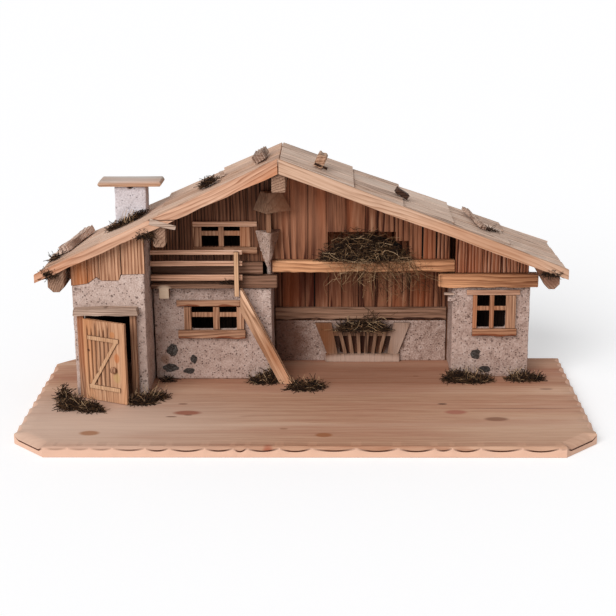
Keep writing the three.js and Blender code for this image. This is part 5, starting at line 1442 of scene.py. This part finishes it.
def lay_stones():
    shape = bmesh.new()
    for number, (x, y, z, wide, high) in enumerate(STONES):
        corners = 7 + number % 2
        rings = []
        for back in (0.0, 3.5):
            ring = []
            for n in range(corners):
                angle = 2 * math.pi * (n + 0.2 * math.sin(2.7 * number + 3 * n)) / corners + number
                reach = 0.54 + 0.1 * noise.noise(Vector((number * 1.7, n * 1.3, 0.5)))
                across, up = wide * reach * math.cos(angle), high * reach * math.sin(angle)
                ring.append(shape.verts.new(Vector((x + across, y + back, z + up)) * MM))
            rings.append(ring)
        shape.faces.new(rings[0])
        shape.faces.new(list(reversed(rings[1])))
        for n in range(corners):
            m = (n + 1) % corners
            shape.faces.new((rings[0][n], rings[1][n], rings[1][m], rings[0][m]))
    bmesh.ops.recalc_face_normals(shape, faces=shape.faces[:])
    break_edges(shape, 1.1, 2)
    cut_across(shape, (1.5, 3, 1.5))
    press_in(shape, 0.8, 0, 5, 5)
    return finish_piece("wall_stones", shape, SLATE, "stable", (), 30)


def rough_block(size, broken, spacing, end=1.0):
    """A block with broken edges, whose +x end may be narrower. Sizes are in millimetres."""
    shape = bmesh.new()
    bmesh.ops.create_cube(shape, size=1)
    for vert in shape.verts:
        height = vert.co.z * size[2] * (end if vert.co.x > 0 else 1)
        vert.co = Vector((vert.co.x * size[0], vert.co.y * size[1], height)) * MM
    break_edges(shape, broken)
    cut_across(shape, spacing)
    return shape


def stuck_on(name, middle, size, broken, tilt, finish):
    """A small rough piece on a front. Middle, size and the width of its broken edges are in millimetres."""
    shape = rough_block(size, broken, (1.5, 1.5, 1.5), 0.65)
    press_in(shape, 0.3 * min(size), 0, len(name), 7)
    lay = moved(*middle) @ Matrix.Rotation(math.radians(tilt), 4, "Y")
    bmesh.ops.transform(shape, matrix=lay, verts=shape.verts[:])
    return finish_piece(name, shape, finish, "stable", (), 40)


lay_stones()
BARGE_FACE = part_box("left_barge_board_lower")[0].y / MM
stuck_on("wood_slip", (193, 84.5, 134), (15, 6, 4), 0.7, 2, WOODS["grey"])
stuck_on("plaster_daub", (197, 85.5, 126.5), (13, 7, 8), 2.2, 0, PLASTER)
stuck_on("splintered_end", (-181, BARGE_FACE + 0.2, 251), (35, 3, 9), 0.6, 14, WOODS["grey"])
print("stones:", len(STONES), "barge face at", round(BARGE_FACE, 1))

# %% [markdown]
# ## Loose pieces of wood on the roof
# On the real roof lie offcuts and bark, as if to weigh the planks down. Each is a small block, broken at
# the edges, grooved where it split along the grain, and laid on the slope.

# %% Roof pieces
ROOF_PIECES = [
    # name, x, y, length, depth, height, tilt in degrees, turn in degrees, wood, ribs
    ("ribbed_offcut", -60, 84, 17, 42, 13, -4, -6, "grey", 4.2),
    ("pale_block", 20, 75, 15, 32, 20, 3, -4, "cap", 7.5),
    ("pale_block_foot", 20, 62, 20, 6, 5, 4, 4, "bark", 0),
    ("bark_chip", 127, 80, 21, 14, 9, 12, 6, "bark", 0),
    ("leaning_slat", 226, 108, 10, 84, 7, 4, 14, "grey", 5.0),
    ("leaning_slat_lower", 236, 94, 6, 56, 4, 4, 16, "bark", 0),
    ("rough_bark_strip", -315, 116, 15, 84, 12, 2, -18, "pale_bark", 6.5),
    ("twig_stub", -112, 92, 7, 16, 8, 0, 12, "grey", 0),
]


def roof_piece(name, x, y, length, depth, height, tilt, turn, wood, ribs):
    shape = rough_block((length, depth, height), min(height, depth) * 0.16, (1.1, 2, 2))
    cut_and_shade = shape.verts.layers.float.new("cut_and_shade")
    if ribs:
        for vert in shape.verts:
            slant = vert.co.x / MM + 0.08 * vert.co.y / MM
            dip = 0.5 + 0.5 * math.cos(slant * 2 * math.pi / ribs)
            vert[cut_and_shade] = 0.7 * max(0.0, dip - 0.45) / 0.55
            vert.co.z -= 1.3 * MM * dip if vert.co.z > 0 else 0
            vert.co.y += 1.2 * MM * dip if vert.co.y < 0 else 0
    press_in(shape, 2.6, 0, len(name), 9)
    place = moved(x, y, roof_top(x) + height * 0.42)
    tilted = Matrix.Rotation(leaning(x) + math.radians(tilt), 4, "Y")
    turned = Matrix.Rotation(math.radians(turn), 4, "Z")
    bmesh.ops.transform(shape, matrix=place @ tilted @ turned, verts=shape.verts[:])
    return finish_piece(name, shape, WOODS[wood], "stable", (), 30)


for row in ROOF_PIECES:
    roof_piece(*row)
print("roof pieces:", len(ROOF_PIECES))

# %% [markdown]
# ## The floor
# The ground is a plain pale sheet that the camera sees as white, with only the object's soft shadow on it.
# Light Path tells the camera's own rays from the rest, so the white that the camera sees lights nothing.

# %% Floor and backdrop
FLOOR_GLOW = 0.28
FLOOR_HALF = 12.0


def show_to_camera(tree, plain, shown, end):
    """Ends a tree so that the camera's rays meet one shader, and all the others the plain one."""
    path = add(tree, "ShaderNodeLightPath").outputs
    calc = short_hands(tree)[1]
    seen = calc("MAXIMUM", path["Is Camera Ray"], path["Is Glossy Ray"])
    seen = calc("MAXIMUM", seen, path["Is Transmission Ray"])
    mixed = add(tree, "ShaderNodeMixShader", {0: seen, 1: plain.outputs[0], 2: shown.outputs[0]})
    tree.links.new(mixed.outputs[0], tree.nodes[end].inputs["Surface"])


def white_ground():
    finish, tree, shader, _ = new_finish("white_ground", 0.9)
    shader.inputs["Base Color"].default_value = (0.86, 0.86, 0.87, 1)
    shader.inputs["Specular IOR Level"].default_value = 0
    glow = add(tree, "ShaderNodeEmission", {"Color": (1, 1, 1, 1), "Strength": FLOOR_GLOW})
    both = add(tree, "ShaderNodeAddShader", {0: shader.outputs[0], 1: glow.outputs[0]})
    show_to_camera(tree, shader, both, "Material Output")
    mesh = bpy.data.meshes.new("floor")
    corners = [(FLOOR_HALF * x, FLOOR_HALF * y, 0) for x, y in ((-1, -1), (1, -1), (1, 1), (-1, 1))]
    mesh.from_pydata(corners, [], [(0, 1, 2, 3)])
    mesh.transform(Matrix.Translation((0, 0, -0.0002)))
    mesh.materials.append(finish)
    on_the_bench("floor", mesh)


def white_sky():
    world = bpy.data.worlds.new("sky")
    world.use_nodes = True
    scene.world = world
    tree = world.node_tree
    sky = tree.nodes["Background"]
    sky.inputs["Color"].default_value = (1, 1, 1, 1)
    sky.inputs["Strength"].default_value = SKY_STRENGTH
    white = add(tree, "ShaderNodeBackground", {"Color": (1, 1, 1, 1), "Strength": 1.0})
    show_to_camera(tree, sky, white, "World Output")


white_ground()
white_sky()
scene.view_settings.view_transform = "Standard"
print("ground and sky are white")
